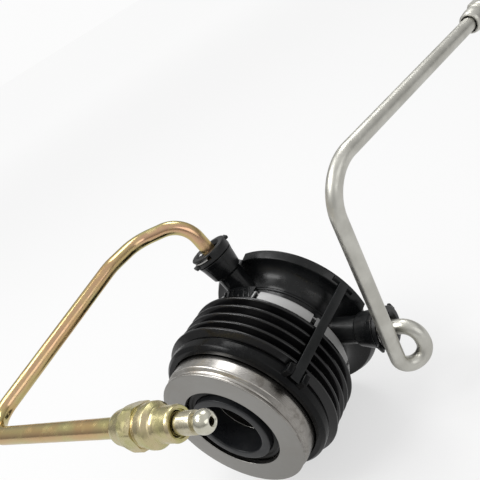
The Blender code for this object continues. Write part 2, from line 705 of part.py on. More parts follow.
def bleeder_screw(surface):
    """The bleed screw with its drilled nipple."""
    frame = bleeder_frame()
    shoulder = BLEEDER_CONE + BLEEDER_HEX_LENGTH + BLEEDER_GROOVE + BLEEDER_COLLAR_LENGTH
    start = shoulder - 0.0042 + GAP
    stem_end = shoulder + BLEEDER_RING_LENGTH + BLEED_STEM_REACH
    ball = stem_end + 0.0002 + sqrt(NIPPLE_RADIUS ** 2 - NIPPLE_NECK ** 2)
    floor = start + 0.0015
    dome = arc(ball, 0.0, NIPPLE_RADIUS, 119, 58, 4)
    profile = [
        (start, 0.0), (start, BLEED_STEM_RADIUS - 0.0010), (start + 0.0010, BLEED_STEM_RADIUS),
        (stem_end - 0.0002, BLEED_STEM_RADIUS), (stem_end, NIPPLE_NECK), *dome,
        (dome[-1][0], NIPPLE_HOLE + 0.0003), (dome[-1][0] - 0.0003, NIPPLE_HOLE), (floor, NIPPLE_HOLE),
        (floor, 0.0),
    ]
    return turned_solid("bleeder_screw", profile, frame, surface, 20)


def spring_seat(surface):
    """The slotted steel shell round the neck, which seats the spring and the boot."""
    bore = BARREL_RADIUS + GAP
    inner = SEAT_RADIUS - SEAT_WALL
    profile = [
        (SEAT_START, bore), (SEAT_START, SEAT_RADIUS - 0.0006), (SEAT_START + 0.0006, SEAT_RADIUS),
        (SEAT_END, SEAT_RADIUS), (SEAT_END, inner), (SEAT_START + SEAT_WALL, inner),
        (SEAT_START + SEAT_WALL, bore),
    ]
    shell = turned("spring_seat", profile, bearing_frame(), surface)
    for index in range(SEAT_SLOTS):
        half = SEAT_SLOT_WIDTH / 2
        low = (inner - SEAT_SLOT_REACH * (inner - bore), -half, SEAT_START - 0.001)
        high = (SEAT_RADIUS + 0.001, half, SEAT_START + SEAT_SLOT_LENGTH)
        frame = around(SEAT_SLOT_ANGLE + index * 2 * pi / SEAT_SLOTS)
        combine(shell, block(f"slot_cutter_{index}", low, high, frame), "DIFFERENCE")
    return shell


def spring_path(start, end, radius, turns):
    """Points of a coil whose first and last half turns lie flat."""
    points = []
    total = int(turns * SPRING_STEPS)
    flat = 0.5 / turns
    for step in range(total + 1):
        share = step / total
        rise = min(1.0, max(0.0, (share - flat) / (1 - 2 * flat)))
        angle = 2 * pi * turns * share
        points.append((radius * cos(angle), radius * sin(angle), start + (end - start) * rise))
    return points


def preload_spring(surface):
    """The coil between the spring seat and the bearing carrier."""
    radius = (BARREL_RADIUS + SEAT_RADIUS - SEAT_WALL) / 2
    start = SEAT_START + SEAT_WALL + SPRING_WIRE + GAP
    end = CARRIER_REAR - SPRING_WIRE - GAP
    curve = bpy.data.curves.new("preload_spring", "CURVE")
    curve.dimensions = "3D"
    curve.bevel_depth = SPRING_WIRE
    curve.bevel_resolution = 1
    curve.use_fill_caps = True
    path = spring_path(start, end, radius, SPRING_TURNS)
    line = curve.splines.new("POLY")
    line.points.add(len(path) - 1)
    for point, place in zip(line.points, path):
        point.co = (*place, 1.0)
    return add_object("preload_spring", curve, bearing_frame(), surface)


def boot_crest(index):
    """The radius of one crest of the boot, counted from the rear."""
    return BOOT_LAST_CREST if index == BOOT_FOLDS else BOOT_CREST


def boot_profile():
    """The half section of the bellows, outside from the rear, then inside back."""
    flat = 0.0006
    root = BOOT_CREST - BOOT_FOLD
    outside = [(BOOT_START, BOOT_CREST - 0.0006)]
    inside = []
    for index in range(BOOT_FOLDS + 1):
        crest = FIRST_CREST + index * BOOT_PITCH
        outside += [(crest - flat, boot_crest(index) - 0.0002), (crest + flat, boot_crest(index) - 0.0002)]
        if index > 0:
            inside.append((crest, boot_crest(index) - BOOT_WALL))
        if index < BOOT_FOLDS:
            valley = crest + BOOT_PITCH / 2
            outside += [(valley - 0.6 * flat, root), (valley + 0.6 * flat, root)]
            inside.append((valley, root - BOOT_WALL))
    grip = CARRIER_GROOVE_RADIUS + GAP
    outside += [(BOOT_END, CARRIER_LIP_RADIUS - 0.0006), (BOOT_END, grip), (LAST_CREST, grip)]
    inside = [point for point in inside if point[0] < LAST_CREST - 0.0002]
    sleeve = SEAT_RADIUS + GAP
    rear = [(SEAT_END + GAP, root - BOOT_WALL), (SEAT_END + GAP, sleeve), (BOOT_START, sleeve)]
    inside = [point for point in inside if point[0] > SEAT_END + 3 * GAP]
    return outside + [(LAST_CREST - 0.0004, boot_crest(BOOT_FOLDS) - BOOT_WALL)] + inside[::-1] + rear


def boot(surface):
    """The rubber bellows over the spring, from its seat to the bearing carrier."""
    return turned("boot", boot_profile(), bearing_frame(), surface)


def piston(surface):
    """The annular piston with the long nose that carries the bearing."""
    crown = CYLINDER_RADIUS - SLIDE_FIT
    shoulder = PISTON_REAR + PISTON_LENGTH
    nose_start = RACE_FRONT + GAP
    nose_end = FACE_DISTANCE + NOSE_PROUD
    step = GUIDE_LENGTH + GAP
    profile = [
        (PISTON_REAR, PISTON_BORE), (PISTON_REAR, crown), (shoulder, crown),
        (shoulder + 0.0006, RACE_SEAT_RADIUS), (nose_start, RACE_SEAT_RADIUS), (nose_start, NOSE_RADIUS),
        (nose_end - 0.0003, NOSE_RADIUS), (nose_end, NOSE_RADIUS - 0.0003), (nose_end, NOSE_BORE + 0.0004),
        (nose_end - 0.0004, NOSE_BORE), (step, NOSE_BORE), (step, PISTON_BORE),
    ]
    return turned("piston", profile, bearing_frame(), surface)


def piston_seal(surface):
    """The lip seal behind the piston."""
    start = PISTON_SEAL_DISTANCE
    end = start + PISTON_SEAL_WIDTH
    inner = PISTON_BORE
    outer = CYLINDER_RADIUS - SLIDE_FIT
    middle = (inner + outer) / 2
    profile = [
        (start, inner), (start, inner + 0.0008), (start + 0.0018, middle), (start, outer - 0.0008),
        (start, outer), (end, outer), (end, inner),
    ]
    return turned("piston_seal", profile, bearing_frame(), surface, SMALL_STEPS)


def carrier_profile():
    """The half section of the carrier: plate, boot groove and front lip."""
    cup = CUP_RADIUS + 0.0004
    front = CARRIER_LIP_START + 0.0005 + CARRIER_LIP_LENGTH
    lip = CARRIER_LIP_RADIUS
    return [
        (CARRIER_REAR, CARRIER_BORE), (CARRIER_FRONT, CARRIER_BORE), (CARRIER_FRONT, cup), (front, cup),
        (front, lip - 0.0016), (front - 0.0005, lip - 0.0007), (front - 0.0016, lip - 0.0002),
        (CARRIER_LIP_START + 0.0012, lip), (CARRIER_LIP_START, lip - 0.0005),
        (CARRIER_LIP_START, CARRIER_GROOVE_RADIUS), (CARRIER_REAR, CARRIER_GROOVE_RADIUS),
    ]


def strap_socket(carrier, label, angle):
    """Add the two ears that hold the tongue of a strap."""
    frame = around(angle)
    foot = CARRIER_LIP_RADIUS - 0.0012
    gap = STRAP_WIDTH / 2 + GAP
    end = EAR_START + EAR_LENGTH
    for side in (-1, 1):
        low = (foot, min(side * gap, side * (gap + EAR_WIDTH)), EAR_START)
        high = (STRAP_OUTER + EAR_RISE, max(side * gap, side * (gap + EAR_WIDTH)), end)
        ear = block(f"{label}_strap_ear_{side + 1}", low, high, frame)
        combine(carrier, softened(ear, 0.0004), "UNION")


def bearing_carrier(surface):
    """The moulded plate that joins the piston, the boot and the bearing."""
    carrier = turned("bearing_carrier", carrier_profile(), bearing_frame(), surface)
    strap_socket(carrier, "upper", STRAP_ANGLE)
    strap_socket(carrier, "lower", STRAP_ANGLE + pi)
    return carrier


def inner_race(surface):
    """The ring that does not turn, with the rear half of the ball track."""
    groove = arc(BALL_PLACE, PITCH_RADIUS, RACEWAY, 207, 270, 4)
    profile = [
        (RACE_REAR, RACE_BORE), (RACE_REAR, groove[0][1]), *groove, (RACE_FRONT, groove[-1][1]),
        (RACE_FRONT, RACE_BORE),
    ]
    return turned("inner_race", profile, bearing_frame(), surface)


def contact_race(surface):
    """The turning cup whose flat face meets the clutch fingers."""
    track = arc(BALL_PLACE, PITCH_RADIUS, RACEWAY, 20, 90, 4)
    waist = FACE_RADIUS - CUP_GROOVE + 0.0004
    profile = [
        (CUP_REAR, CUP_RADIUS - 0.0003), (CUP_REAR + 0.0003, CUP_RADIUS),
        (FACE_DISTANCE - 0.0038, CUP_RADIUS), (FACE_DISTANCE - 0.0033, CUP_RADIUS - 0.0003),
        (FACE_DISTANCE - 0.0026, waist + 0.0003), (FACE_DISTANCE - 0.0020, waist),
        (FACE_DISTANCE - 0.0014, waist + 0.0004), (FACE_DISTANCE - 0.0010, FACE_RADIUS),
        (FACE_DISTANCE - 0.0005, FACE_RADIUS), (FACE_DISTANCE, FACE_RADIUS - 0.0004),
        (FACE_DISTANCE, FACE_HOLE + 0.0003), (FACE_DISTANCE - 0.0003, FACE_HOLE), (PLATE_REAR, FACE_HOLE),
        (PLATE_REAR, track[0][1]), *track, (CUP_REAR, track[-1][1]),
    ]
    return turned("contact_race", profile, bearing_frame(), surface)


def rear_shield(surface):
    """The thin ring that closes the cup behind the balls."""
    start = CUP_REAR + 0.0002
    end = start + SHIELD_THICKNESS
    inner = PITCH_RADIUS + RACEWAY * sin(radians(207)) + 0.0004
    outer = PITCH_RADIUS + RACEWAY - GAP
    profile = [(start, inner), (start, outer), (end, outer), (end, inner)]
    return turned("rear_shield", profile, bearing_frame(), surface, SMALL_STEPS)


def front_seal(surface):
    """The rubber ring in front of the inner race."""
    start = RACE_FRONT + GAP
    end = start + FRONT_SEAL_WIDTH
    inner = NOSE_RADIUS + GAP
    outer = FACE_HOLE - 0.0004
    profile = [(start, inner), (start, outer), (end - 0.0003, outer), (end, outer - 0.0003), (end, inner)]
    return turned("front_seal", profile, bearing_frame(), surface)


def ball_cage(surface):
    """The ring with a pocket for each ball."""
    inner = PITCH_RADIUS - CAGE_THICKNESS / 2
    start = BALL_PLACE - CAGE_WIDTH / 2
    end = BALL_PLACE + CAGE_WIDTH / 2
    outer = inner + CAGE_THICKNESS
    profile = [(start, inner), (start, outer), (end, outer), (end, inner)]
    cage = turned("ball_cage", profile, bearing_frame(), surface, 2 * BALL_COUNT)
    for index in range(BALL_COUNT):
        angle = 2 * pi * (index + 0.5) / BALL_COUNT
        direction = (cos(angle), 0, sin(angle))
        frame = axis_frame((0, -BALL_PLACE, 0), direction, (0, 1, 0))
        pocket = rod(f"pocket_cutter_{index}", inner - 0.002, outer + 0.002, RACEWAY, frame, 8)
        combine(cage, pocket, "DIFFERENCE")
    return cage


def ball(index, surface):
    """One bearing ball, its own origin on the bearing axis."""
    bm = bmesh.new()
    angle = 2 * pi * (index + 0.5) / BALL_COUNT
    place = Matrix.Translation((PITCH_RADIUS * cos(angle), PITCH_RADIUS * sin(angle), BALL_PLACE))
    bmesh.ops.create_uvsphere(bm, u_segments=8, v_segments=5, radius=BALL_RADIUS, matrix=place)
    return mesh_object(f"ball_{index + 1:02d}", bm, bearing_frame(), surface)


def shipping_strap(label, angle, surface):
    """A flat strap whose head hooks in the flange and whose tongue lies in the carrier's ears."""
    half = STRAP_WIDTH / 2
    neck = STRAP_START + STRAP_HEAD_LENGTH
    side = [
        (STRAP_INNER, STRAP_START), (STRAP_OUTER, STRAP_START), (STRAP_OUTER, STRAP_END - STRAP_TIP),
        (STRAP_INNER + 0.0003, STRAP_END), (STRAP_INNER, STRAP_END),
    ]
    bm = bmesh.new()
    face = bm.faces.new([bm.verts.new((radius, -half, along)) for radius, along in side])
    raise_face(bm, face, (0, STRAP_WIDTH, 0))
    strap = mesh_object(label + "_strap", bm, around(angle), surface)
    low = (STRAP_HOOK, -STRAP_HEAD_WIDTH / 2, STRAP_START)
    high = (STRAP_OUTER - 0.0001, STRAP_HEAD_WIDTH / 2, neck)
    return combine(strap, block(label + "_strap_hook", low, high, around(angle)), "UNION")


def build():
    """Model every piece of the release bearing."""
    clear_scene()
    plastic = finish("black_plastic", (0.017, 0.018, 0.020), 0.42, 0.0)
    rubber = finish("black_rubber", (0.012, 0.012, 0.013), 0.60, 0.0)
    strap = finish("strap_nylon", (0.020, 0.022, 0.023), 0.50, 0.0)
    grey = finish("grey_plastic", (0.080, 0.083, 0.090), 0.45, 0.0)
    steel = finish("bearing_steel", (0.62, 0.60, 0.57), 0.26, 1.0)
    shell = finish("shell_steel", (0.60, 0.60, 0.60), 0.45, 1.0)
    satin = finish("pipe_steel", (0.52, 0.51, 0.46), 0.34, 1.0)
    gold = finish("yellow_zinc", (0.56, 0.42, 0.20), 0.30, 1.0)
    brass = finish("pale_zinc", (0.62, 0.58, 0.36), 0.30, 1.0)
    guide_tube(steel)
    guide_seal(rubber)
    housing(plastic)
    spring_seat(shell)
    preload_spring(steel)
    boot(rubber)
    ports = (("supply", 0.0, SUPPLY_EAR_TURN), ("bleed", BLEED_PORT_ANGLE, BLEED_EAR_TURN))
    for label, angle, turn in ports:
        pipe_seal(label, angle, rubber)
        port_clip(label, angle, turn, steel)
        port_retainer(label, angle, turn, plastic)
    bent_pipe("supply_pipe", supply_corners(), SUPPLY_BENDS, satin, PIPE_FLARE)
    bent_pipe("bleed_pipe", bleed_corners(), BLEED_BENDS, gold)
    supply_nut(satin)
    bleeder_body(brass)
    bleeder_screw(brass)
    piston(grey)
    piston_seal(rubber)
    bearing_carrier(plastic)
    inner_race(steel)
    contact_race(steel)
    rear_shield(shell)
    front_seal(rubber)
    ball_cage(grey)
    for index in range(BALL_COUNT):
        ball(index, steel)
    shipping_strap("upper", STRAP_ANGLE, strap)
    shipping_strap("lower", STRAP_ANGLE + pi, strap)


build()
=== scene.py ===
"""Dressed model of a hydraulic clutch release bearing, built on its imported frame.

Sizes are in metres. Places along the bearing axis are distances forward from the
flange's back face, and the bearing faces -Y, with its supply port along +X and +Z up.
"""

import logging
from collections.abc import Callable
from dataclasses import dataclass, field
from enum import Enum
from math import acos, cos, pi, radians, sin, sqrt, tan

import bmesh
import bpy
from mathutils import Matrix, Vector


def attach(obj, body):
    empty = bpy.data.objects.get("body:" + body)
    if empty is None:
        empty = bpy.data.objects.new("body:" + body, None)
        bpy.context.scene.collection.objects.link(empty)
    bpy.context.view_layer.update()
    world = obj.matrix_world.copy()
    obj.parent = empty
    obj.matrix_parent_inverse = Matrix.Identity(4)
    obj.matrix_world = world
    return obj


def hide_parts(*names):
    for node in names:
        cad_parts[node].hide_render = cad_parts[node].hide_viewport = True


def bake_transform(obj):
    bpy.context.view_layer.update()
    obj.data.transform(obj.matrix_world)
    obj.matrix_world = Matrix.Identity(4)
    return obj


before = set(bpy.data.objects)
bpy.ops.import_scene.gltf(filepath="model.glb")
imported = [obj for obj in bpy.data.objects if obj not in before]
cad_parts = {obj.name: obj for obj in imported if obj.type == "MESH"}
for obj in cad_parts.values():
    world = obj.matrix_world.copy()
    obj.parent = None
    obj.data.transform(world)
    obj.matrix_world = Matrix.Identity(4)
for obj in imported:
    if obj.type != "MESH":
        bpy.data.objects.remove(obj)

LOG = logging.getLogger("release_bearing")
Colour = tuple[float, float, float]
Point = tuple[float, float]
Corner = tuple[float, float, float]


class Body(Enum):
    """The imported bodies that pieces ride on."""

    FIXED = "body"
    SLIDER = "slider"
    RACE = "race"
    CAGE = "cage"
    BLEED_SCREW = "bleed_screw"
    NUT = "nut"


class Slot(Enum):
    """The record's material slots."""

    BLACK_PLASTIC = "black_plastic"
    BLACK_RUBBER = "black_rubber"
    STRAP_NYLON = "strap_nylon"
    GREY_PLASTIC = "grey_plastic"
    BEARING_STEEL = "bearing_steel"
    SHELL_STEEL = "shell_steel"
    PIPE_STEEL = "pipe_steel"
    YELLOW_ZINC = "yellow_zinc"
    PALE_ZINC = "pale_zinc"


@dataclass(frozen=True)
class Layout:
    """Sizes and places that several pieces share."""

    gap: float = 0.0003
    guide_radius: float = 0.0140
    piston_bore: float = 0.0143
    cylinder: float = 0.0200
    barrel: float = 0.0230
    neck_end: float = 0.0174
    barrel_end: float = 0.0340
    seat_start: float = 0.0177
    seat_end: float = 0.0266
    seat_radius: float = 0.0304
    boot_start: float = 0.0244
    first_crest: float = 0.0255
    crest_pitch: float = 0.0042
    last_crest: float = 0.0423
    boot_end: float = 0.0443
    lip_start: float = 0.0446
    lip_radius: float = 0.0322
    groove_radius: float = 0.0302
    carrier_rear: float = 0.0423
    carrier_front: float = 0.0451
    race_seat: float = 0.0169
    race_front: float = 0.0556
    plate_rear: float = 0.0564
    ball_place: float = 0.0520
    pitch_radius: float = 0.0226
    ball_radius: float = 0.00275
    raceway: float = 0.00305
    strap_angles: Point = (radians(24.7), radians(24.7) + pi)
    face: float = 0.0590
    flange_radius: float = 0.0356
    port_distance: float = 0.0105
    bleed_angle: float = radians(102.7)
    strap_inner: float = 0.0346
    strap_outer: float = 0.0357
    strap_width: float = 0.0035
    pipe_radius: float = 0.0028


LAYOUT = Layout()


# Frames


def axis_frame(origin: Vector, direction: Vector, side: Vector) -> Matrix:
    """Give the frame whose Z runs along a direction.

    Args:
        origin: Where the frame stands.
        direction: Where its Z points.
        side: Where its X leans.

    Returns:
        The frame as a matrix.
    """
    z = Vector(direction).normalized()
    y = z.cross(Vector(side)).normalized()
    x = y.cross(z)
    return Matrix.Translation(Vector(origin)) @ Matrix((x, y, z)).transposed().to_4x4()


def bearing_frame(angle: float = 0.0) -> Matrix:
    """Give the bearing's frame, Z forward and X turned round the axis.

    Args:
        angle: How far X is turned from the supply port, towards the top.

    Returns:
        The frame as a matrix.
    """
    return axis_frame((0, 0, 0), (0, -1, 0), (1, 0, 0)) @ Matrix.Rotation(angle, 4, "Z")


def port_frame(angle: float, turn: float = 0.0) -> Matrix:
    """Give the frame of a pipe port, Z out along the port.

    Args:
        angle: Where the port stands round the bearing axis.
        turn: How far the frame is turned round the port from the rear.

    Returns:
        The frame as a matrix.
    """
    out = (cos(angle), 0, sin(angle))
    return axis_frame((0, -LAYOUT.port_distance, 0), out, (0, 1, 0)) @ Matrix.Rotation(turn, 4, "Z")


# Meshes


def rounded(corners: list[Corner], closed: bool = True, steps: int = 5) -> list[Point]:
    """Round the corners of a profile.

    Args:
        corners: Distance along the axis, radius and fillet of each corner.
        closed: Whether the last corner joins the first.
        steps: Segments in each fillet.

    Returns:
        The points of the profile, along the axis and out from it.
    """
    points = []
    for index, (along, radius, fillet) in enumerate(corners):
        here = Vector((along, radius))
        if fillet <= 0 or (not closed and index in (0, len(corners) - 1)):
            points.append((along, radius))
            continue
        back = Vector(corners[index - 1][:2]) - here
        ahead = Vector(corners[(index + 1) % len(corners)][:2]) - here
        reach = fillet / tan(max(back.angle(ahead), 0.05) / 2)
        start = here + back.normalized() * min(reach, 0.48 * back.length)
        end = here + ahead.normalized() * min(reach, 0.48 * ahead.length)
        for step in range(steps + 1):
            share = step / steps
            spot = start * (1 - share) ** 2 + here * (2 * share * (1 - share)) + end * share ** 2
            points.append((spot.x, spot.y))
    return points


def spun(profile: list[Point], steps: int, closed: bool = True) -> bmesh.types.BMesh:
    """Spin a profile once round Z.

    Args:
        profile: Points along the axis and out from it.
        steps: Segments round the axis.
        closed: Whether the profile closes on itself and not on the axis.

    Returns:
        The turned mesh.
    """
    bm = bmesh.new()
    verts = [bm.verts.new((radius, 0.0, along)) for along, radius in profile]
    ends = verts[1:] + (verts[:1] if closed else [])
    edges = [bm.edges.new(pair) for pair in zip(verts, ends)]
    bmesh.ops.spin(bm, geom=verts + edges, cent=(0, 0, 0), axis=(0, 0, 1), dvec=(0, 0, 0),
                   angle=2 * pi, steps=steps, use_merge=True, use_duplicate=False)
    return bm


def swept(corners: list[Point], angle: float, steps: int) -> bmesh.types.BMesh:
    """Sweep a filled profile part of the way round Z.

    Args:
        corners: Distance along the axis and radius of each corner.
        angle: How far it goes.
        steps: Segments on the way.

    Returns:
        The swept mesh.
    """
    bm = bmesh.new()
    face = bm.faces.new([bm.verts.new((radius, 0.0, along)) for along, radius in corners])
    bmesh.ops.spin(bm, geom=[face], cent=(0, 0, 0), axis=(0, 0, 1), dvec=(0, 0, 0), angle=angle,
                   steps=steps, use_merge=False, use_duplicate=False)
    return bm


def arc(along: float, out: float, radius: float, degrees: range) -> list[Corner]:
    """Give the points of an arc in a profile, without fillets.

    Args:
        along: Where its centre is along the axis.
        out: How far its centre is from the axis.
        radius: Its radius.
        degrees: The angle of each point from the axis.

    Returns:
        The points as corners.
    """
    return [(along + radius * cos(radians(a)), out + radius * sin(radians(a)), 0) for a in degrees]


def points_of(made: list) -> list[bmesh.types.BMVert]:
    """Give the points among the geometry that an operator made."""
    return [item for item in made if isinstance(item, bmesh.types.BMVert)]


def block(low: tuple, high: tuple, edge: float, segments: int = 3) -> bmesh.types.BMesh:
    """Make a block with rounded edges.

    Args:
        low: Its lowest corner.
        high: Its highest corner.
        edge: The width of the rounding, or nought for sharp edges.
        segments: Segments across each rounding.

    Returns:
        The mesh of the block.
    """
    bm = bmesh.new()
    bmesh.ops.create_cube(bm, size=1.0)
    bmesh.ops.scale(bm, vec=[b - a for a, b in zip(low, high)], verts=bm.verts)
    bmesh.ops.translate(bm, vec=[(a + b) / 2 for a, b in zip(low, high)], verts=bm.verts)
    if edge > 0:
        bmesh.ops.bevel(bm, geom=bm.edges[:], offset=edge, affect="EDGES", segments=segments,
                        profile=0.5, material=-1)
    return bm


def plate(outline: list[Point], low: float, high: float) -> bmesh.types.BMesh:
    """Raise an outline into a plate along Z.

    Args:
        outline: Its corners in X and Y.
        low: Where it starts along Z.
        high: Where it ends along Z.

    Returns:
        The mesh of the plate.
    """
    bm = bmesh.new()
    face = bm.faces.new([bm.verts.new((x, y, low)) for x, y in outline])
    made = bmesh.ops.extrude_face_region(bm, geom=[face], use_keep_orig=True)["geom"]
    bmesh.ops.translate(bm, vec=(0, 0, high - low), verts=points_of(made))
    return bm


def hexagon(start: float, end: float, flats: float, turn: float = 30.0) -> bmesh.types.BMesh:
    """Make a hexagonal bar along Z.

    Args:
        start: Where it starts.
        end: Where it ends.
        flats: Its width across flats.
        turn: How far it is turned, in degrees.

    Returns:
        The mesh of the bar.
    """
    bm = bmesh.new()
    corner = flats / sqrt(3)
    place = Matrix.Translation((0, 0, (start + end) / 2)) @ Matrix.Rotation(radians(turn), 4, "Z")
    bmesh.ops.create_cone(bm, cap_ends=True, segments=6, radius1=corner, radius2=corner,
                          depth=end - start, matrix=place)
    upright = [e for e in bm.edges if abs(e.verts[0].co.z - e.verts[1].co.z) > (end - start) / 2]
    bmesh.ops.bevel(bm, geom=upright, offset=0.00028, affect="EDGES", segments=1, profile=0.5, material=-1)
    return bm


class Form:
    """A solid under construction, kept in the object's frame."""

    def __init__(self, bm: bmesh.types.BMesh, where: Matrix) -> None:
        """Put a mesh in place.

        Args:
            bm: The mesh, which is used up.
            where: The frame that it was made in.
        """
        bmesh.ops.transform(bm, matrix=where, verts=bm.verts)
        bmesh.ops.remove_doubles(bm, verts=bm.verts, dist=1e-7)
        bmesh.ops.recalc_face_normals(bm, faces=bm.faces)
        mesh = bpy.data.meshes.new("form")
        bm.to_mesh(mesh)
        bm.free()
        self.thing = bpy.data.objects.new("form", mesh)
        bpy.context.scene.collection.objects.link(self.thing)

    def combine(self, other: "Form", operation: str) -> "Form":
        """Join, cut or intersect with another form, which is used up.

        Args:
            other: The other form.
            operation: The Boolean operation's name.

        Returns:
            This form.
        """
        step = self.thing.modifiers.new("combine", "BOOLEAN")
        step.operation = operation
        step.solver = "EXACT"
        step.object = other.thing
        graph = bpy.context.evaluated_depsgraph_get()
        made = bpy.data.meshes.new_from_object(self.thing.evaluated_get(graph))
        self.thing.modifiers.clear()
        used = self.thing.data
        self.thing.data = made
        bpy.data.meshes.remove(used)
        bpy.data.objects.remove(other.thing)
        return self

    def join(self, other: "Form") -> "Form":
        """Add another form."""
        return self.combine(other, "UNION")

    def cut(self, other: "Form") -> "Form":
        """Cut another form away."""
        return self.combine(other, "DIFFERENCE")

    def meet(self, other: "Form") -> "Form":
        """Keep what lies in another form as well."""
        return self.combine(other, "INTERSECT")

    def release(self, name: str, look: "Look", body: Body | None, *nodes: str, angle: float = 32.0) -> bpy.types.Object:
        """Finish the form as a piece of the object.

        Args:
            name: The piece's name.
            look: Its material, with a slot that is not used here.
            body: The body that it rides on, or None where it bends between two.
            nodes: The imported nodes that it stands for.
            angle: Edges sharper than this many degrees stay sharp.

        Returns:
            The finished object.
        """
        mesh = self.thing.data
        bm = bmesh.new()
        bm.from_mesh(mesh)
        bmesh.ops.remove_doubles(bm, verts=bm.verts, dist=1e-6)
        bmesh.ops.dissolve_degenerate(bm, edges=bm.edges, dist=1e-6)
        bm.to_mesh(mesh)
        bm.free()
        mesh.materials.clear()
        mesh.materials.append(look.material)
        mesh.shade_smooth()
        mesh.set_sharp_from_angle(angle=radians(angle))
        self.thing.name = name
        mesh.name = name
        if body is not None:
            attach(self.thing, body.value)
        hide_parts(*nodes)
        LOG.info("%s: %d faces", name, len(mesh.polygons))
        return self.thing


def turned(corners: list[Corner], where: Matrix, steps: int = 144, fillet_steps: int = 4) -> Form:
    """Turn a ring from a closed profile with rounded corners.

    Args:
        corners: Distance along the axis, radius and fillet of each corner.
        where: The frame whose Z is the axis.
        steps: Segments round the axis.
        fillet_steps: Segments in each fillet.

    Returns:
        The ring.
    """
    return Form(spun(rounded(corners, True, fillet_steps), steps), where)


def washer(start: float, end: float, inner: float, outer: float, edges: tuple[float, float], where: Matrix,
           steps: int) -> Form:
    """Turn a plain ring.

    Args:
        start: Where it starts along the axis.
        end: Where it ends along the axis.
        inner: Its inner radius.
        outer: Its outer radius.
        edges: The fillets of its inner and of its outer edges.
        where: The frame whose Z is the axis.
        steps: Segments round the axis.

    Returns:
        The ring.
    """
    near, far = edges
    return turned([(start, inner, near), (start, outer, far), (end, outer, far), (end, inner, near)], where, steps)


def turned_solid(corners: list[Corner], where: Matrix, steps: int = 96, fillet_steps: int = 4) -> Form:
    """Turn a solid from a profile that starts and ends on the axis.

    Args:
        corners: Distance along the axis, radius and fillet of each corner.
        where: The frame whose Z is the axis.
        steps: Segments round the axis.
        fillet_steps: Segments in each fillet.

    Returns:
        The solid.
    """
    return Form(spun(rounded(corners, False, fillet_steps), steps, False), where)


def rod(start: float, end: float, radius: float, where: Matrix, steps: int = 96) -> Form:
    """Turn a plain cylinder along Z, for a hole or a pin.

    Args:
        start: Where it starts.
        end: Where it ends.
        radius: Its radius.
        where: The frame whose Z is the axis.
        steps: Segments round the axis.

    Returns:
        The cylinder.
    """
    return turned_solid([(start, 0, 0), (start, radius, 0), (end, radius, 0), (end, 0, 0)], where, steps)


def second_finish(thing: bpy.types.Object, look: "Look", chosen: Callable[[Vector], bool]) -> None:
    """Give some faces of a finished piece another finish.

    Args:
        thing: The piece.
        look: The other finish.
        chosen: Whether a face with this middle gets it.
    """
    thing.data.materials.append(look.material)
    for polygon in thing.data.polygons:
        if chosen(polygon.center):
            polygon.material_index = 1


# Finishes


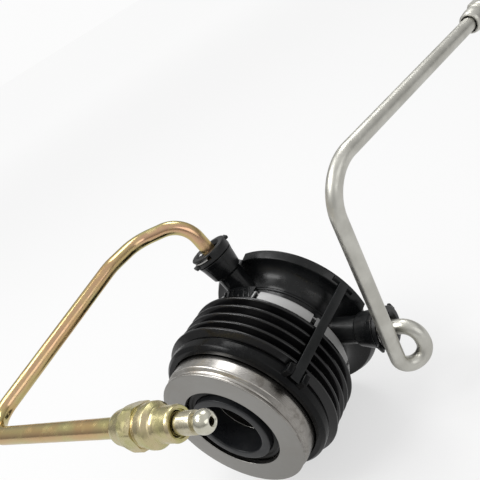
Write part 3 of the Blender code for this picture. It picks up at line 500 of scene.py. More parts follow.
class Graph:
    """A node tree that is filled by short calls."""

    def __init__(self, tree: bpy.types.NodeTree) -> None:
        """Keep the tree that the calls fill."""
        self.tree = tree

    def add(self, kind: str, **settings: object) -> bpy.types.Node:
        """Add a node.

        Args:
            kind: The node's type without its prefix.
            settings: Properties to set on it.

        Returns:
            The node.
        """
        node = self.tree.nodes.new("ShaderNode" + kind)
        for key, value in settings.items():
            setattr(node, key, value)
        return node

    def feed(self, target: bpy.types.NodeSocket, value: object) -> None:
        """Link a socket to an input, or set the input to a number or a colour.

        Args:
            target: The input.
            value: A socket, a number or a colour.
        """
        if isinstance(value, bpy.types.NodeSocket):
            self.tree.links.new(value, target)
        elif isinstance(value, tuple) and len(value) == 3 and target.type == "RGBA":
            target.default_value = (*value, 1.0)
        else:
            target.default_value = value

    def math(self, operation: str, first: object, second: object = 0.0) -> bpy.types.NodeSocket:
        """Combine two values.

        Args:
            operation: The Math node's operation.
            first: A socket or a number.
            second: A socket or a number.

        Returns:
            The result's socket.
        """
        node = self.add("Math", operation=operation)
        self.feed(node.inputs[0], first)
        self.feed(node.inputs[1], second)
        return node.outputs[0]

    def blend(self, first: object, second: object, share: float) -> bpy.types.NodeSocket:
        """Add a share of one value to the rest of another.

        Args:
            first: The first value's socket.
            second: The second value's socket.
            share: How much of the first.

        Returns:
            The sum's socket.
        """
        return self.math("ADD", self.math("MULTIPLY", first, share), self.math("MULTIPLY", second, 1.0 - share))

    def noise(self, where: object, scale: object, detail: float = 3.0, roughness: float = 0.55) -> bpy.types.NodeSocket:
        """Give the height of a noise texture.

        Args:
            where: The socket with its coordinates.
            scale: Its scale, a number or a socket.
            detail: How many octaves it has.
            roughness: How strong the fine octaves are.

        Returns:
            The height, from nought to one.
        """
        node = self.add("TexNoise")
        self.feed(node.inputs["Vector"], where)
        self.feed(node.inputs["Scale"], scale)
        node.inputs["Detail"].default_value = detail
        node.inputs["Roughness"].default_value = roughness
        return node.outputs["Fac"]

    def span(self, value: object, low: float, high: float, to_low: float = 0.0,
             to_high: float = 1.0) -> bpy.types.NodeSocket:
        """Carry one range of a value over to another, held at both ends.

        Args:
            value: The socket to carry over.
            low: The value that gives to_low.
            high: The value that gives to_high.
            to_low: The lowest result.
            to_high: The highest result.

        Returns:
            The result's socket.
        """
        node = self.add("MapRange", interpolation_type="SMOOTHSTEP")
        items = {"Value": value, "From Min": low, "From Max": high, "To Min": to_low, "To Max": to_high}
        for key, item in items.items():
            self.feed(node.inputs[key], item)
        return node.outputs[0]

    def mix(self, share: object, first: object, second: object) -> bpy.types.NodeSocket:
        """Mix two colours.

        Args:
            share: How much of the second, a socket or a number.
            first: A socket or a colour.
            second: A socket or a colour.

        Returns:
            The mixed colour.
        """
        node = self.add("Mix", data_type="RGBA")
        self.feed(node.inputs[0], share)
        self.feed(node.inputs[6], first)
        self.feed(node.inputs[7], second)
        return node.outputs[2]

    def place(self, group: bpy.types.NodeTree, **inputs: object) -> bpy.types.Node:
        """Place a shared group.

        Args:
            group: The node group.
            inputs: What its named inputs get.

        Returns:
            The group's node.
        """
        node = self.add("Group", node_tree=group)
        for key, value in inputs.items():
            self.feed(node.inputs[key.replace("_", " ").capitalize()], value)
        return node


def new_group(name: str, inputs: dict[str, str],
              outputs: dict[str, str]) -> tuple[bpy.types.NodeTree, Graph, dict, dict]:
    """Start a node group with named sockets.

    Args:
        name: The group's name.
        inputs: The names and socket types of its inputs.
        outputs: The names and socket types of its outputs.

    Returns:
        The group, its graph, its input sockets and its output sockets by name.
    """
    group = bpy.data.node_groups.new(name, "ShaderNodeTree")
    for key, kind in inputs.items():
        group.interface.new_socket(name=key, in_out="INPUT", socket_type=kind)
    for key, kind in outputs.items():
        group.interface.new_socket(name=key, in_out="OUTPUT", socket_type=kind)
    come = group.nodes.new("NodeGroupInput")
    leave = group.nodes.new("NodeGroupOutput")
    return group, Graph(group), {k: come.outputs[k] for k in inputs}, {k: leave.inputs[k] for k in outputs}


VALUE = "NodeSocketFloat"
VECTOR = "NodeSocketVector"


class Effects:
    """The effects that several finishes share, each one node group."""

    def __init__(self) -> None:
        """Build the groups once."""
        self.grain = self.moulded_grain()
        self.lines = self.turned_lines()
        self.bloom = self.plating_bloom()
        self.marks = self.handling_marks()
        self.dust = self.settled_dust()

    def moulded_grain(self) -> bpy.types.NodeTree:
        """Make the fine skin of a moulding: a height and a slow change of tone.

        Returns:
            The node group.
        """
        group, graph, come, leave = new_group(
            "moulded grain", {"Vector": VECTOR, "Scale": VALUE}, {"Height": VALUE, "Tone": VALUE})
        fine = graph.noise(come["Vector"], come["Scale"], 4.0, 0.6)
        wave = graph.noise(come["Vector"], graph.math("MULTIPLY", come["Scale"], 0.09), 2.0)
        graph.feed(leave["Height"], graph.blend(fine, wave, 0.55))
        graph.feed(leave["Tone"], graph.span(wave, 0.3, 0.7))
        return group

    def turned_lines(self) -> bpy.types.NodeTree:
        """Make the fine rings that a lathe or a grinder leaves round the bearing axis.

        Returns:
            The node group.
        """
        group, graph, come, leave = new_group(
            "turned lines", {"Vector": VECTOR, "Scale": VALUE}, {"Height": VALUE, "Tone": VALUE})
        split = graph.add("SeparateXYZ")
        graph.feed(split.inputs[0], come["Vector"])
        across, along, up = split.outputs
        square = graph.math("ADD", graph.math("MULTIPLY", across, across), graph.math("MULTIPLY", up, up))
        radius = graph.math("SQRT", square)
        turn = graph.math("ARCTAN2", up, across)
        fold = graph.add("CombineXYZ")
        graph.feed(fold.inputs[0], radius)
        graph.feed(fold.inputs[1], along)
        graph.feed(fold.inputs[2], graph.math("MULTIPLY", turn, 0.0006))
        fine = graph.noise(fold.outputs[0], come["Scale"], 3.0, 0.7)
        coarse = graph.noise(fold.outputs[0], graph.math("MULTIPLY", come["Scale"], 0.16), 2.0)
        graph.feed(leave["Height"], fine)
        graph.feed(leave["Tone"], graph.blend(fine, coarse, 0.4))
        return group

    def plating_bloom(self) -> bpy.types.NodeTree:
        """Make the cloudy patches of a plated surface, two masks and a fine height.

        Returns:
            The node group.
        """
        group, graph, come, leave = new_group(
            "plating bloom", {"Vector": VECTOR, "Scale": VALUE}, {"Cloud": VALUE, "Streak": VALUE, "Height": VALUE})
        cloud = graph.noise(come["Vector"], come["Scale"], 3.0, 0.6)
        drift = graph.noise(come["Vector"], graph.math("MULTIPLY", come["Scale"], 2.7), 4.0, 0.65)
        speck = graph.noise(come["Vector"], graph.math("MULTIPLY", come["Scale"], 24.0), 3.0, 0.7)
        graph.feed(leave["Cloud"], graph.span(cloud, 0.34, 0.66))
        graph.feed(leave["Streak"], graph.span(drift, 0.44, 0.66))
        graph.feed(leave["Height"], speck)
        return group

    def handling_marks(self) -> bpy.types.NodeTree:
        """Make the rubs and thin scratches that handling leaves, as one mask.

        Returns:
            The node group.
        """
        group, graph, come, leave = new_group(
            "handling marks", {"Vector": VECTOR, "Scale": VALUE}, {"Mask": VALUE})
        rub = graph.span(graph.noise(come["Vector"], come["Scale"], 4.0, 0.7), 0.54, 0.72)
        stretch = graph.add("Mapping")
        graph.feed(stretch.inputs["Vector"], come["Vector"])
        stretch.inputs["Rotation"].default_value = (0.6, 0.4, 0.9)
        stretch.inputs["Scale"].default_value = (1.0, 9.0, 9.0)
        scratch = graph.span(graph.noise(stretch.outputs[0], come["Scale"], 2.0, 0.5), 0.66, 0.72)
        graph.feed(leave["Mask"], graph.math("MAXIMUM", graph.math("MULTIPLY", rub, 0.7), scratch))
        return group

    def settled_dust(self) -> bpy.types.NodeTree:
        """Make the thin dust that lies on faces that look up, as one mask.

        Returns:
            The node group.
        """
        group, graph, come, leave = new_group(
            "settled dust", {"Vector": VECTOR, "Scale": VALUE}, {"Mask": VALUE})
        normal = graph.add("TexCoord").outputs["Normal"]
        split = graph.add("SeparateXYZ")
        graph.feed(split.inputs[0], normal)
        up = graph.span(split.outputs[2], -0.1, 1.0)
        speck = graph.span(graph.noise(come["Vector"], come["Scale"], 5.0, 0.75), 0.46, 0.74)
        graph.feed(leave["Mask"], graph.math("MULTIPLY", up, speck))
        return group


@dataclass
class Look:
    """A finished material and the record's slot that it dresses."""

    material: bpy.types.Material
    slot: Slot


@dataclass(frozen=True)
class Finish:
    """What every finish has: a name, a slot, two colours and a gloss."""

    name: str
    slot: Slot
    colour: Colour
    accent: Colour
    roughness: float
    spread: float = 0.08
    grain: float = 900.0
    relief: float = 0.15

    def start(self) -> tuple[bpy.types.Material, Graph, bpy.types.Node, bpy.types.NodeSocket]:
        """Begin a material.

        Returns:
            The material, its graph, its shader and the object's coordinates.
        """
        material = bpy.data.materials.new(self.name)
        material.use_nodes = True
        graph = Graph(material.node_tree)
        shader = material.node_tree.nodes["Principled BSDF"]
        return material, graph, shader, graph.add("TexCoord").outputs["Object"]

    def bump(self, graph: Graph, shader: bpy.types.Node, height: bpy.types.NodeSocket, depth: float) -> None:
        """Give a shader the relief of a height.

        Args:
            graph: The material's graph.
            shader: Its Principled shader.
            height: The height, from nought to one.
            depth: The height of one, in metres.
        """
        node = graph.add("Bump")
        node.inputs["Strength"].default_value = self.relief
        node.inputs["Distance"].default_value = depth
        graph.feed(node.inputs["Height"], height)
        graph.feed(shader.inputs["Normal"], node.outputs[0])

    def facing(self, graph: Graph, way: Vector) -> bpy.types.NodeSocket:
        """Tell how far each face looks one way.

        Args:
            graph: The material's graph.
            way: The way, in the object's own frame.

        Returns:
            The socket with one where a face looks straight that way.
        """
        node = graph.add("VectorMath", operation="DOT_PRODUCT")
        graph.feed(node.inputs[0], graph.add("TexCoord").outputs["Normal"])
        node.inputs[1].default_value = way
        return node.outputs["Value"]

    def build(self, effects: Effects) -> Look:
        """Build the material; each kind of finish has its own."""
        raise NotImplementedError


@dataclass(frozen=True)
class Moulded(Finish):
    """A moulded plastic or rubber with a fine skin, rubs and a little dust."""

    dust: float = 0.12
    specular: float = 0.3

    def build(self, effects: Effects) -> Look:
        """Build the material.

        Args:
            effects: The shared groups.

        Returns:
            The finished look.
        """
        material, graph, shader, spot = self.start()
        grain = graph.place(effects.grain, vector=spot, scale=self.grain)
        marks = graph.place(effects.marks, vector=spot, scale=self.grain * 0.14)
        dust = graph.place(effects.dust, vector=spot, scale=self.grain * 0.5)
        shade = graph.mix(graph.math("MULTIPLY", grain.outputs["Tone"], 0.6), self.colour, self.accent)
        pale = tuple(1.9 * c + 0.006 for c in self.colour)
        rubbed = graph.mix(graph.math("MULTIPLY", marks.outputs["Mask"], 0.35), shade, pale)
        dusted = graph.mix(graph.math("MULTIPLY", dust.outputs["Mask"], self.dust), rubbed, (0.075, 0.072, 0.066))
        graph.feed(shader.inputs["Base Color"], dusted)
        gloss = graph.span(grain.outputs["Tone"], 0.0, 1.0, self.roughness - self.spread, self.roughness + self.spread)
        dulled = graph.math("ADD", gloss, graph.math("MULTIPLY", dust.outputs["Mask"], 0.25))
        graph.feed(shader.inputs["Roughness"], dulled)
        shader.inputs["Specular IOR Level"].default_value = self.specular
        self.bump(graph, shader, grain.outputs["Height"], 0.00012)
        return Look(material, self.slot)


@dataclass(frozen=True)
class TurnedSteel(Finish):
    """A steel face with fine rings round the bearing axis, real cloudy stains, and painted shade, mottled like a stain,
    on the side that looks one way.
    """

    stain_and_shade: Colour = (0.20, 0.15, 0.10)
    staining: float = 0.25
    anisotropy: float = 0.5
    painted_shade_way: tuple[float, float, float] = (0.94, 0.0, -0.34)
    painted_shade_range: tuple[float, float] = (0.12, 0.42)
    painted_shading: float = 0.0
    metallic: float = 1.0

    def build(self, effects: Effects) -> Look:
        """Build the material.

        Args:
            effects: The shared groups.

        Returns:
            The finished look.
        """
        material, graph, shader, spot = self.start()
        lines = graph.place(effects.lines, vector=spot, scale=self.grain)
        bloom = graph.place(effects.bloom, vector=spot, scale=70.0)
        marks = graph.place(effects.marks, vector=spot, scale=130.0)
        shade = graph.mix(lines.outputs["Tone"], self.colour, self.accent)
        # Painted shade: faces that look along the given way are darkened to the stain colour, mottled by the streaks,
        # standing in for the dark surroundings that side reflects.
        painted_shade = graph.span(self.facing(graph, self.painted_shade_way), *self.painted_shade_range, 0.0, self.painted_shading)
        shade_patches = graph.math("MULTIPLY", painted_shade, graph.span(bloom.outputs["Streak"], 0.0, 1.0, 0.65, 1.0))
        cloudy = graph.math("MULTIPLY", bloom.outputs["Cloud"], self.staining)
        stained_and_shaded = graph.mix(graph.math("MAXIMUM", cloudy, shade_patches), shade, self.stain_and_shade)
        bright = tuple(min(1.0, 1.35 * c) for c in self.colour)
        worn = graph.mix(graph.math("MULTIPLY", marks.outputs["Mask"], 0.25), stained_and_shaded, bright)
        graph.feed(shader.inputs["Base Color"], worn)
        graph.feed(shader.inputs["Roughness"], graph.span(
            lines.outputs["Tone"], 0.2, 0.8, self.roughness - self.spread, self.roughness + self.spread))
        shader.inputs["Metallic"].default_value = self.metallic
        shader.inputs["Anisotropic"].default_value = self.anisotropy
        tangent = graph.add("Tangent", direction_type="RADIAL", axis="Y")
        graph.feed(shader.inputs["Tangent"], tangent.outputs[0])
        self.bump(graph, shader, lines.outputs["Height"], 0.00002)
        return Look(material, self.slot)


@dataclass(frozen=True)
class Plated(Finish):
    """A plated steel with cloudy patches and a painted sheen: a second tint on the sides that look one way."""

    glow: Colour = (0.5, 0.4, 0.3)
    sheen_way: tuple[float, float, float] = (0.64, -0.66, 0.39)
    sheen_range: tuple[float, float] = (0.55, 0.97)
    sheen_strength: float = 0.0

    def build(self, effects: Effects) -> Look:
        """Build the material.

        Args:
            effects: The shared groups.

        Returns:
            The finished look.
        """
        material, graph, shader, spot = self.start()
        bloom = graph.place(effects.bloom, vector=spot, scale=self.grain)
        marks = graph.place(effects.marks, vector=spot, scale=self.grain * 2.0)
        shade = graph.mix(bloom.outputs["Cloud"], self.colour, self.accent)
        # Painted sheen: faces that look along the given way, by default toward the camera, take the second tint,
        # standing in for plating colour that changes with the angle of view.
        way = Vector(self.sheen_way).normalized()
        band = graph.span(self.facing(graph, way), *self.sheen_range, 0.0, self.sheen_strength)
        sheen_patch = graph.math("MULTIPLY", band, graph.span(bloom.outputs["Streak"], 0.0, 1.0, 1.0, 0.55))
        sheened = graph.mix(sheen_patch, shade, self.glow)
        bright = tuple(min(1.0, 1.3 * c + 0.03) for c in self.colour)
        worn = graph.mix(graph.math("MULTIPLY", marks.outputs["Mask"], 0.3), sheened, bright)
        graph.feed(shader.inputs["Base Color"], worn)
        graph.feed(shader.inputs["Roughness"], graph.span(
            bloom.outputs["Streak"], 0.0, 1.0, self.roughness - self.spread, self.roughness + self.spread))
        shader.inputs["Metallic"].default_value = 1.0
        self.bump(graph, shader, bloom.outputs["Height"], 0.00003)
        return Look(material, self.slot)


class Looks:
    """Every finish of the object, built once."""

    def __init__(self, effects: Effects) -> None:
        """Build the materials.

        Args:
            effects: The shared groups.
        """
        self.housing = Moulded("housing plastic", Slot.BLACK_PLASTIC, (0.0045, 0.005, 0.0055), (0.008, 0.0085, 0.009),
                               0.25, dust=0.10, specular=0.36).build(effects)
        self.cap = Moulded("cap plastic", Slot.BLACK_PLASTIC, (0.006, 0.0065, 0.007), (0.010, 0.0105, 0.011), 0.30,
                           grain=1300.0, specular=0.40).build(effects)
        self.carrier = Moulded("carrier plastic", Slot.BLACK_PLASTIC, (0.0036, 0.0038, 0.0042),
                               (0.006, 0.0063, 0.0066), 0.24, dust=0.03, specular=0.16).build(effects)
        self.boot = Moulded("boot rubber", Slot.BLACK_RUBBER, (0.0024, 0.0024, 0.0027), (0.0040, 0.0040, 0.0042), 0.18,
                            spread=0.05, grain=700.0, dust=0.04, specular=0.46).build(effects)
        self.seal = Moulded("seal rubber", Slot.BLACK_RUBBER, (0.004, 0.004, 0.004), (0.007, 0.007, 0.007), 0.38,
                            dust=0.05, specular=0.2).build(effects)
        self.strap = Moulded("strap nylon", Slot.STRAP_NYLON, (0.009, 0.010, 0.0105), (0.013, 0.014, 0.0145), 0.36,
                             grain=1100.0, dust=0.08, specular=0.3).build(effects)
        self.nose = Moulded("nose plastic", Slot.GREY_PLASTIC, (0.013, 0.014, 0.016), (0.019, 0.020, 0.022), 0.34,
                            dust=0.08, specular=0.36).build(effects)
        self.face = TurnedSteel("ground face steel", Slot.BEARING_STEEL, (0.32, 0.313, 0.297), (0.39, 0.381, 0.362),
                                0.40, grain=5200.0, staining=0.08).build(effects)
        self.guide = TurnedSteel("guide tube steel", Slot.BEARING_STEEL, (0.22, 0.215, 0.21), (0.32, 0.315, 0.30), 0.30,
                                 grain=3800.0, staining=0.1).build(effects)
        # The cup's side has real mottled stain, plus painted shade on the side that looks along +X and down.
        self.cup = TurnedSteel("cup side steel", Slot.BEARING_STEEL, (0.42, 0.405, 0.38), (0.66, 0.64, 0.61), 0.24,
                               grain=4200.0, stain_and_shade=(0.115, 0.098, 0.078), staining=0.45, anisotropy=0.7,
                               painted_shade_range=(0.16, 0.52), painted_shading=0.7).build(effects)
        self.band = TurnedSteel("band steel", Slot.SHELL_STEEL, (0.43, 0.43, 0.427), (0.48, 0.48, 0.477), 0.52,
                                grain=2600.0, staining=0.04, anisotropy=0.0, metallic=0.3).build(effects)
        self.tip = Plated("nipple tip plating", Slot.PALE_ZINC, (0.66, 0.64, 0.52), (0.76, 0.74, 0.64), 0.25,
                          grain=220.0, relief=0.05).build(effects)
        self.spring = Plated("spring steel", Slot.BEARING_STEEL, (0.36, 0.355, 0.34), (0.46, 0.45, 0.43), 0.26,
                             grain=120.0).build(effects)
        # This dark finish also serves as painted shade on the inner part of the port clips.
        self.coil = Plated("blackened coil steel and clip slot shade", Slot.BEARING_STEEL, (0.050, 0.050, 0.052), (0.075, 0.075, 0.075),
                           0.42, grain=160.0).build(effects)
        self.satin = Plated("satin pipe plating", Slot.PIPE_STEEL, (0.57, 0.56, 0.51), (0.68, 0.67, 0.615), 0.42,
                            spread=0.05, grain=95.0, relief=0.08).build(effects)
        # The zinc platings carry the painted sheen on the sides that look toward the camera.
        self.yellow = Plated("yellow zinc plating", Slot.YELLOW_ZINC, (0.62, 0.55, 0.25), (0.68, 0.46, 0.21), 0.23,
                             spread=0.06, grain=75.0, relief=0.06, glow=(0.72, 0.45, 0.29), sheen_range=(0.62, 0.97),
                             sheen_strength=1.0).build(effects)
        self.pale = Plated("pale zinc plating", Slot.PALE_ZINC, (0.56, 0.53, 0.24), (0.63, 0.54, 0.33), 0.33,
                           grain=150.0, relief=0.1, glow=(0.72, 0.58, 0.40), sheen_strength=0.5).build(effects)
        self.nipple = Plated("nipple plating", Slot.PALE_ZINC, (0.58, 0.53, 0.38), (0.66, 0.62, 0.48), 0.30,
                             grain=220.0, relief=0.08).build(effects)


# Sub-assemblies


@dataclass
class HousingGroup:
    """The moulded housing, the guide tube that it holds and the tube's seal."""

    looks: Looks
    rim_width: float = 0.0034
    rim_front: float = 0.0340
    flare_lip: float = 0.0012
    flare_length: float = 0.0076
    neck_radius: float = 0.0253
    bead: float = 0.0005
    rear_wall: float = 0.0040
    guide_bore: float = 0.0124
    guide_length: float = 0.0483
    guide_flange: float = 0.0170
    seal_wall: float = 0.0159
    mouth_bore: float = 0.0046
    dip_angle: float = radians(8)
    dip: float = 0.0026
    comb_range: Point = (radians(77), radians(103))
    comb_front: float = 0.0241
    comb_ribs: int = 6
    comb_slant: float = radians(28)

    def body_corners(self) -> list[Corner]:
        """Give the half section of the moulded body without its ports.

        Returns:
            Distance along the axis, radius and fillet of each corner.
        """
        top = self.rim_front - self.flare_lip
        fall = top - self.neck_radius
        flare = [(self.rim_width + self.flare_length * (1 - cos(radians(a))), top - fall * sin(radians(a)), 0)
                 for a in range(6, 90, 6)]
        end = self.rim_width + self.flare_length
        pocket = self.guide_flange + LAYOUT.gap
        return [
            (0, pocket, 0.0002), (0, LAYOUT.flange_radius, 0.0005), (self.rim_width, self.rim_front, 0.0006),
            (self.rim_width, top, 0.0005), *flare, (end, self.neck_radius, 0.0004),
            (end, self.neck_radius + self.bead, 0.0003), (end + 0.0010, self.neck_radius + self.bead, 0.0003),
            (end + 0.0012, self.neck_radius, 0.0002), (LAYOUT.neck_end, self.neck_radius, 0.0003),
            (LAYOUT.neck_end, LAYOUT.barrel, 0.0002), (LAYOUT.barrel_end, LAYOUT.barrel, 0.0009),
            (LAYOUT.barrel_end, LAYOUT.cylinder, 0.0008), (self.rear_wall, LAYOUT.cylinder, 0.0008),
            (self.rear_wall, LAYOUT.piston_bore, 0.0003), (0.0037, LAYOUT.piston_bore, 0), (0.0037, self.seal_wall, 0),
            (0.0018, self.seal_wall, 0.0001), (0.0018, pocket, 0),
        ]

    def boss(self, angle: float) -> Form:
        """Make the boss of a pipe port.

        Args:
            angle: Where the port stands round the bearing axis.

        Returns:
            The boss, from inside the neck to its cap.
        """
        corners = [
            (0.0212, 0, 0), (0.0212, 0.0053, 0), (0.0240, 0.0056, 0), (0.0262, 0.0053, 0.0030),
            (0.0355, 0.0053, 0.0006), (0.0362, 0.0064, 0.0005), (0.0420, 0.0073, 0.0020), (0.0440, 0.0078, 0.0003),
            (0.0440, 0, 0),
        ]
        return turned_solid(corners, port_frame(angle), 96)

    def seam(self, angle: float, side: float) -> Form:
        """Make the fine seam that the mould leaves along a boss.

        Args:
            angle: Where the port stands round the bearing axis.
            side: One for the front of the boss, minus one for its rear.

        Returns:
            The seam.
        """
        line = [(0.0268, 0.0053), (0.0352, 0.0053), (0.0363, 0.0064), (0.0419, 0.0073), (0.0434, 0.0077)]
        outline = [(-side * (radius + 0.00018), along) for along, radius in line]
        outline += [(-side * (radius - 0.0008), along) for along, radius in reversed(line)]
        where = port_frame(angle) @ Matrix.Rotation(pi / 2, 4, "X")
        return Form(plate(outline, -0.00018, 0.00018), where)

    def bore(self, angle: float) -> Form:
        """Make the stepped hole of a port.

        Args:
            angle: Where the port stands round the bearing axis.

        Returns:
            The form to cut away.
        """
        pipe = LAYOUT.pipe_radius + LAYOUT.gap
        corners = [
            (0.0185, 0, 0), (0.0185, 0.0016, 0), (0.0310, 0.0016, 0), (0.0310, pipe, 0), (0.0400, pipe, 0.0002),
            (0.0400, self.mouth_bore, 0), (0.0490, self.mouth_bore, 0), (0.0490, 0, 0),
        ]
        return turned_solid(corners, port_frame(angle), 72)

    def rim_dip(self, angle: float) -> Form:
        """Make the smooth dip in the flange rim behind a port.

        Args:
            angle: Where the port stands round the bearing axis.

        Returns:
            The form to cut away.
        """
        steps = 28
        top = LAYOUT.flange_radius + 0.0004
        outline = []
        for step in range(-steps, steps + 1):
            turn = self.dip_angle * step / steps
            radius = top - (self.dip + 0.0004) * (1 + cos(pi * step / steps)) / 2
            outline.append((radius * cos(turn), radius * sin(turn)))
        outer = LAYOUT.flange_radius + 0.004
        outline += [(outer, outer * sin(self.dip_angle)), (outer, -outer * sin(self.dip_angle))]
        return Form(plate(outline, -0.001, self.rim_width + 0.0002), bearing_frame(angle))

    def recess(self, angle: float) -> Form:
        """Make the pocket in the rim that takes the head of a shipping strap.

        Args:
            angle: Where the strap lies round the bearing axis.

        Returns:
            The form to cut away.
        """
        top = LAYOUT.flange_radius + 0.002
        half = LAYOUT.strap_width / 2 + LAYOUT.gap
        head = block((LAYOUT.strap_inner - 0.0015, -0.0048, 0.0006), (top, 0.0048, 0.0026), 0.0002, 2)
        tape = block((LAYOUT.strap_inner - LAYOUT.gap / 2, -half, 0.0006), (top, half, 0.0120), 0.0001, 2)
        return Form(head, bearing_frame(angle)).join(Form(tape, bearing_frame(angle)))

    def comb(self) -> Form:
        """Make the ribbed lug that reaches from the neck over the seat, in front of the bleed port.

        Returns:
            The lug with its slanted ribs.
        """
        inner, outer = LAYOUT.seat_radius + 0.0001, LAYOUT.seat_radius + 0.0006
        rear, front, root = LAYOUT.neck_end - 0.0012, self.comb_front, self.neck_radius - 0.0008
        corners = [(rear, root), (rear, outer - 0.0004), (rear + 0.0004, outer), (front, outer), (front, inner),
                   (LAYOUT.neck_end, inner), (LAYOUT.neck_end, root)]
        low, high = self.comb_range
        lug = Form(swept(corners, high - low, 20), bearing_frame(low))
        for index in range(self.comb_ribs):
            angle = low + (high - low) * (index + 0.5) / self.comb_ribs
            rib = block((outer - 0.0002, -0.0003, -0.0028), (outer + 0.0005, 0.0003, 0.0028), 0.0002, 2)
            where = bearing_frame(angle) @ Matrix.Translation((0, 0, 0.0207)) @ Matrix.Rotation(self.comb_slant, 4, "X")
            lug.join(Form(rib, where))
        return lug

    def build(self) -> None:
        """Build the group's pieces."""
        shell = turned(self.body_corners(), bearing_frame(), 180).join(self.comb())
        ports = (0.0, LAYOUT.bleed_angle)
        for angle in ports:
            shell.join(self.boss(angle)).join(self.seam(angle, 1)).join(self.seam(angle, -1))
        for angle in ports:
            shell.cut(self.bore(angle)).cut(self.rim_dip(angle))
        for angle in LAYOUT.strap_angles:
            shell.cut(self.recess(angle))
        shell.release("housing_moulding", self.looks.housing, Body.FIXED, "housing")
        bore, outer = self.guide_bore, LAYOUT.guide_radius
        tube = turned([
            (0, bore, 0.0006), (0, self.guide_flange, 0.0002), (0.0015, self.guide_flange, 0.0002),
            (0.0015, outer, 0.0002), (self.guide_length, outer, 0.0006), (self.guide_length, bore, 0.0004),
        ], bearing_frame())
        tube.release("guide_sleeve", self.looks.guide, Body.FIXED, "guide_tube")
        start, inner = 0.0021, outer + LAYOUT.gap
        ring = washer(start, start + 0.0016, inner, inner + 0.0013, (0.0003, 0.0003), bearing_frame(), 96)
        ring.release("guide_ring_seal", self.looks.seal, Body.FIXED, "guide_seal")


@dataclass
class PortGroup:
    """The cap, the spring clip and the seal of one pipe port."""

    looks: Looks
    label: str
    angle: float
    turn: float
    start: float = 0.0443
    slot: float = 0.0458
    slot_width: float = 0.0015
    clip_thickness: float = 0.0005
    slot_shade_radius: float = 0.0067
    slot_edge: float = 0.0022
    mouth: float = 0.0480
    radius: float = 0.0079
    ear: float = 0.0090
    ear_width: float = 0.0046
    nib_width: float = 0.0040
    bore: float = 0.0046

    def cap(self) -> Form:
        """Make the cap with its slot, its ear and its nib.

        Returns:
            The cap.
        """
        where = port_frame(self.angle, self.turn)
        ring = turned([
            (self.start, self.bore, 0), (self.start, self.radius, 0.0002), (self.mouth, self.radius, 0.0006),
            (self.mouth, self.bore + 0.0011, 0.0003), (self.mouth - 0.0012, self.bore, 0.0003),
        ], where, 96)
        half = self.ear_width / 2
        inside = self.radius - 0.0012
        low, high = (-half, inside, self.start + 0.0002), (half, self.ear, self.slot - 0.0001)
        ring.join(Form(block(low, high, 0.0004), where))
        half = self.nib_width / 2
        low, high = (-half, -self.ear, self.slot), (half, -inside, self.slot + self.slot_width)
        ring.join(Form(block(low, high, 0.00055), where))
        reach = self.radius + 0.002
        cutter = block((-reach, self.slot_edge, self.slot), (reach, reach, self.slot + self.slot_width), 0)
        return ring.cut(Form(cutter, where))

    def clip(self) -> Form:
        """Make the flat spring clip that lies in the cap's slot.

        Returns:
            The clip.
        """
        low = self.slot + LAYOUT.gap
        high = low + self.clip_thickness
        half = radians(60)
        inner, outer = LAYOUT.pipe_radius + LAYOUT.gap, self.radius - LAYOUT.gap
        corners = [(low, inner), (low, self.slot_shade_radius), (low, outer), (high, outer), (high, self.slot_shade_radius), (high, inner)]
        return Form(swept(corners, 2 * half, 48), port_frame(self.angle, self.turn + pi / 2 - half))

    def build(self) -> None:
        """Build the group's pieces."""
        self.cap().release(self.label + "_cap", self.looks.cap, Body.FIXED, self.label + "_retainer")
        clip = self.clip().release(self.label + "_spring_clip", self.looks.spring, Body.FIXED, self.label + "_clip")
        back = port_frame(self.angle).inverted()
        # Painted shade: the clip's inner part, down in the cap's slot, takes the dark coil finish; only its outer rim
        # keeps the bright spring steel.
        second_finish(clip, self.looks.coil, lambda spot: (back @ spot).xy.length < self.slot_shade_radius)
        start, inner, outer = 0.0403, LAYOUT.pipe_radius + LAYOUT.gap, self.bore - LAYOUT.gap
        ring = washer(start, start + 0.0024, inner, outer, (0.0003, 0.0005), port_frame(self.angle), 64)
        ring.release(self.label + "_ring_seal", self.looks.seal, Body.FIXED, self.label + "_pipe_seal")


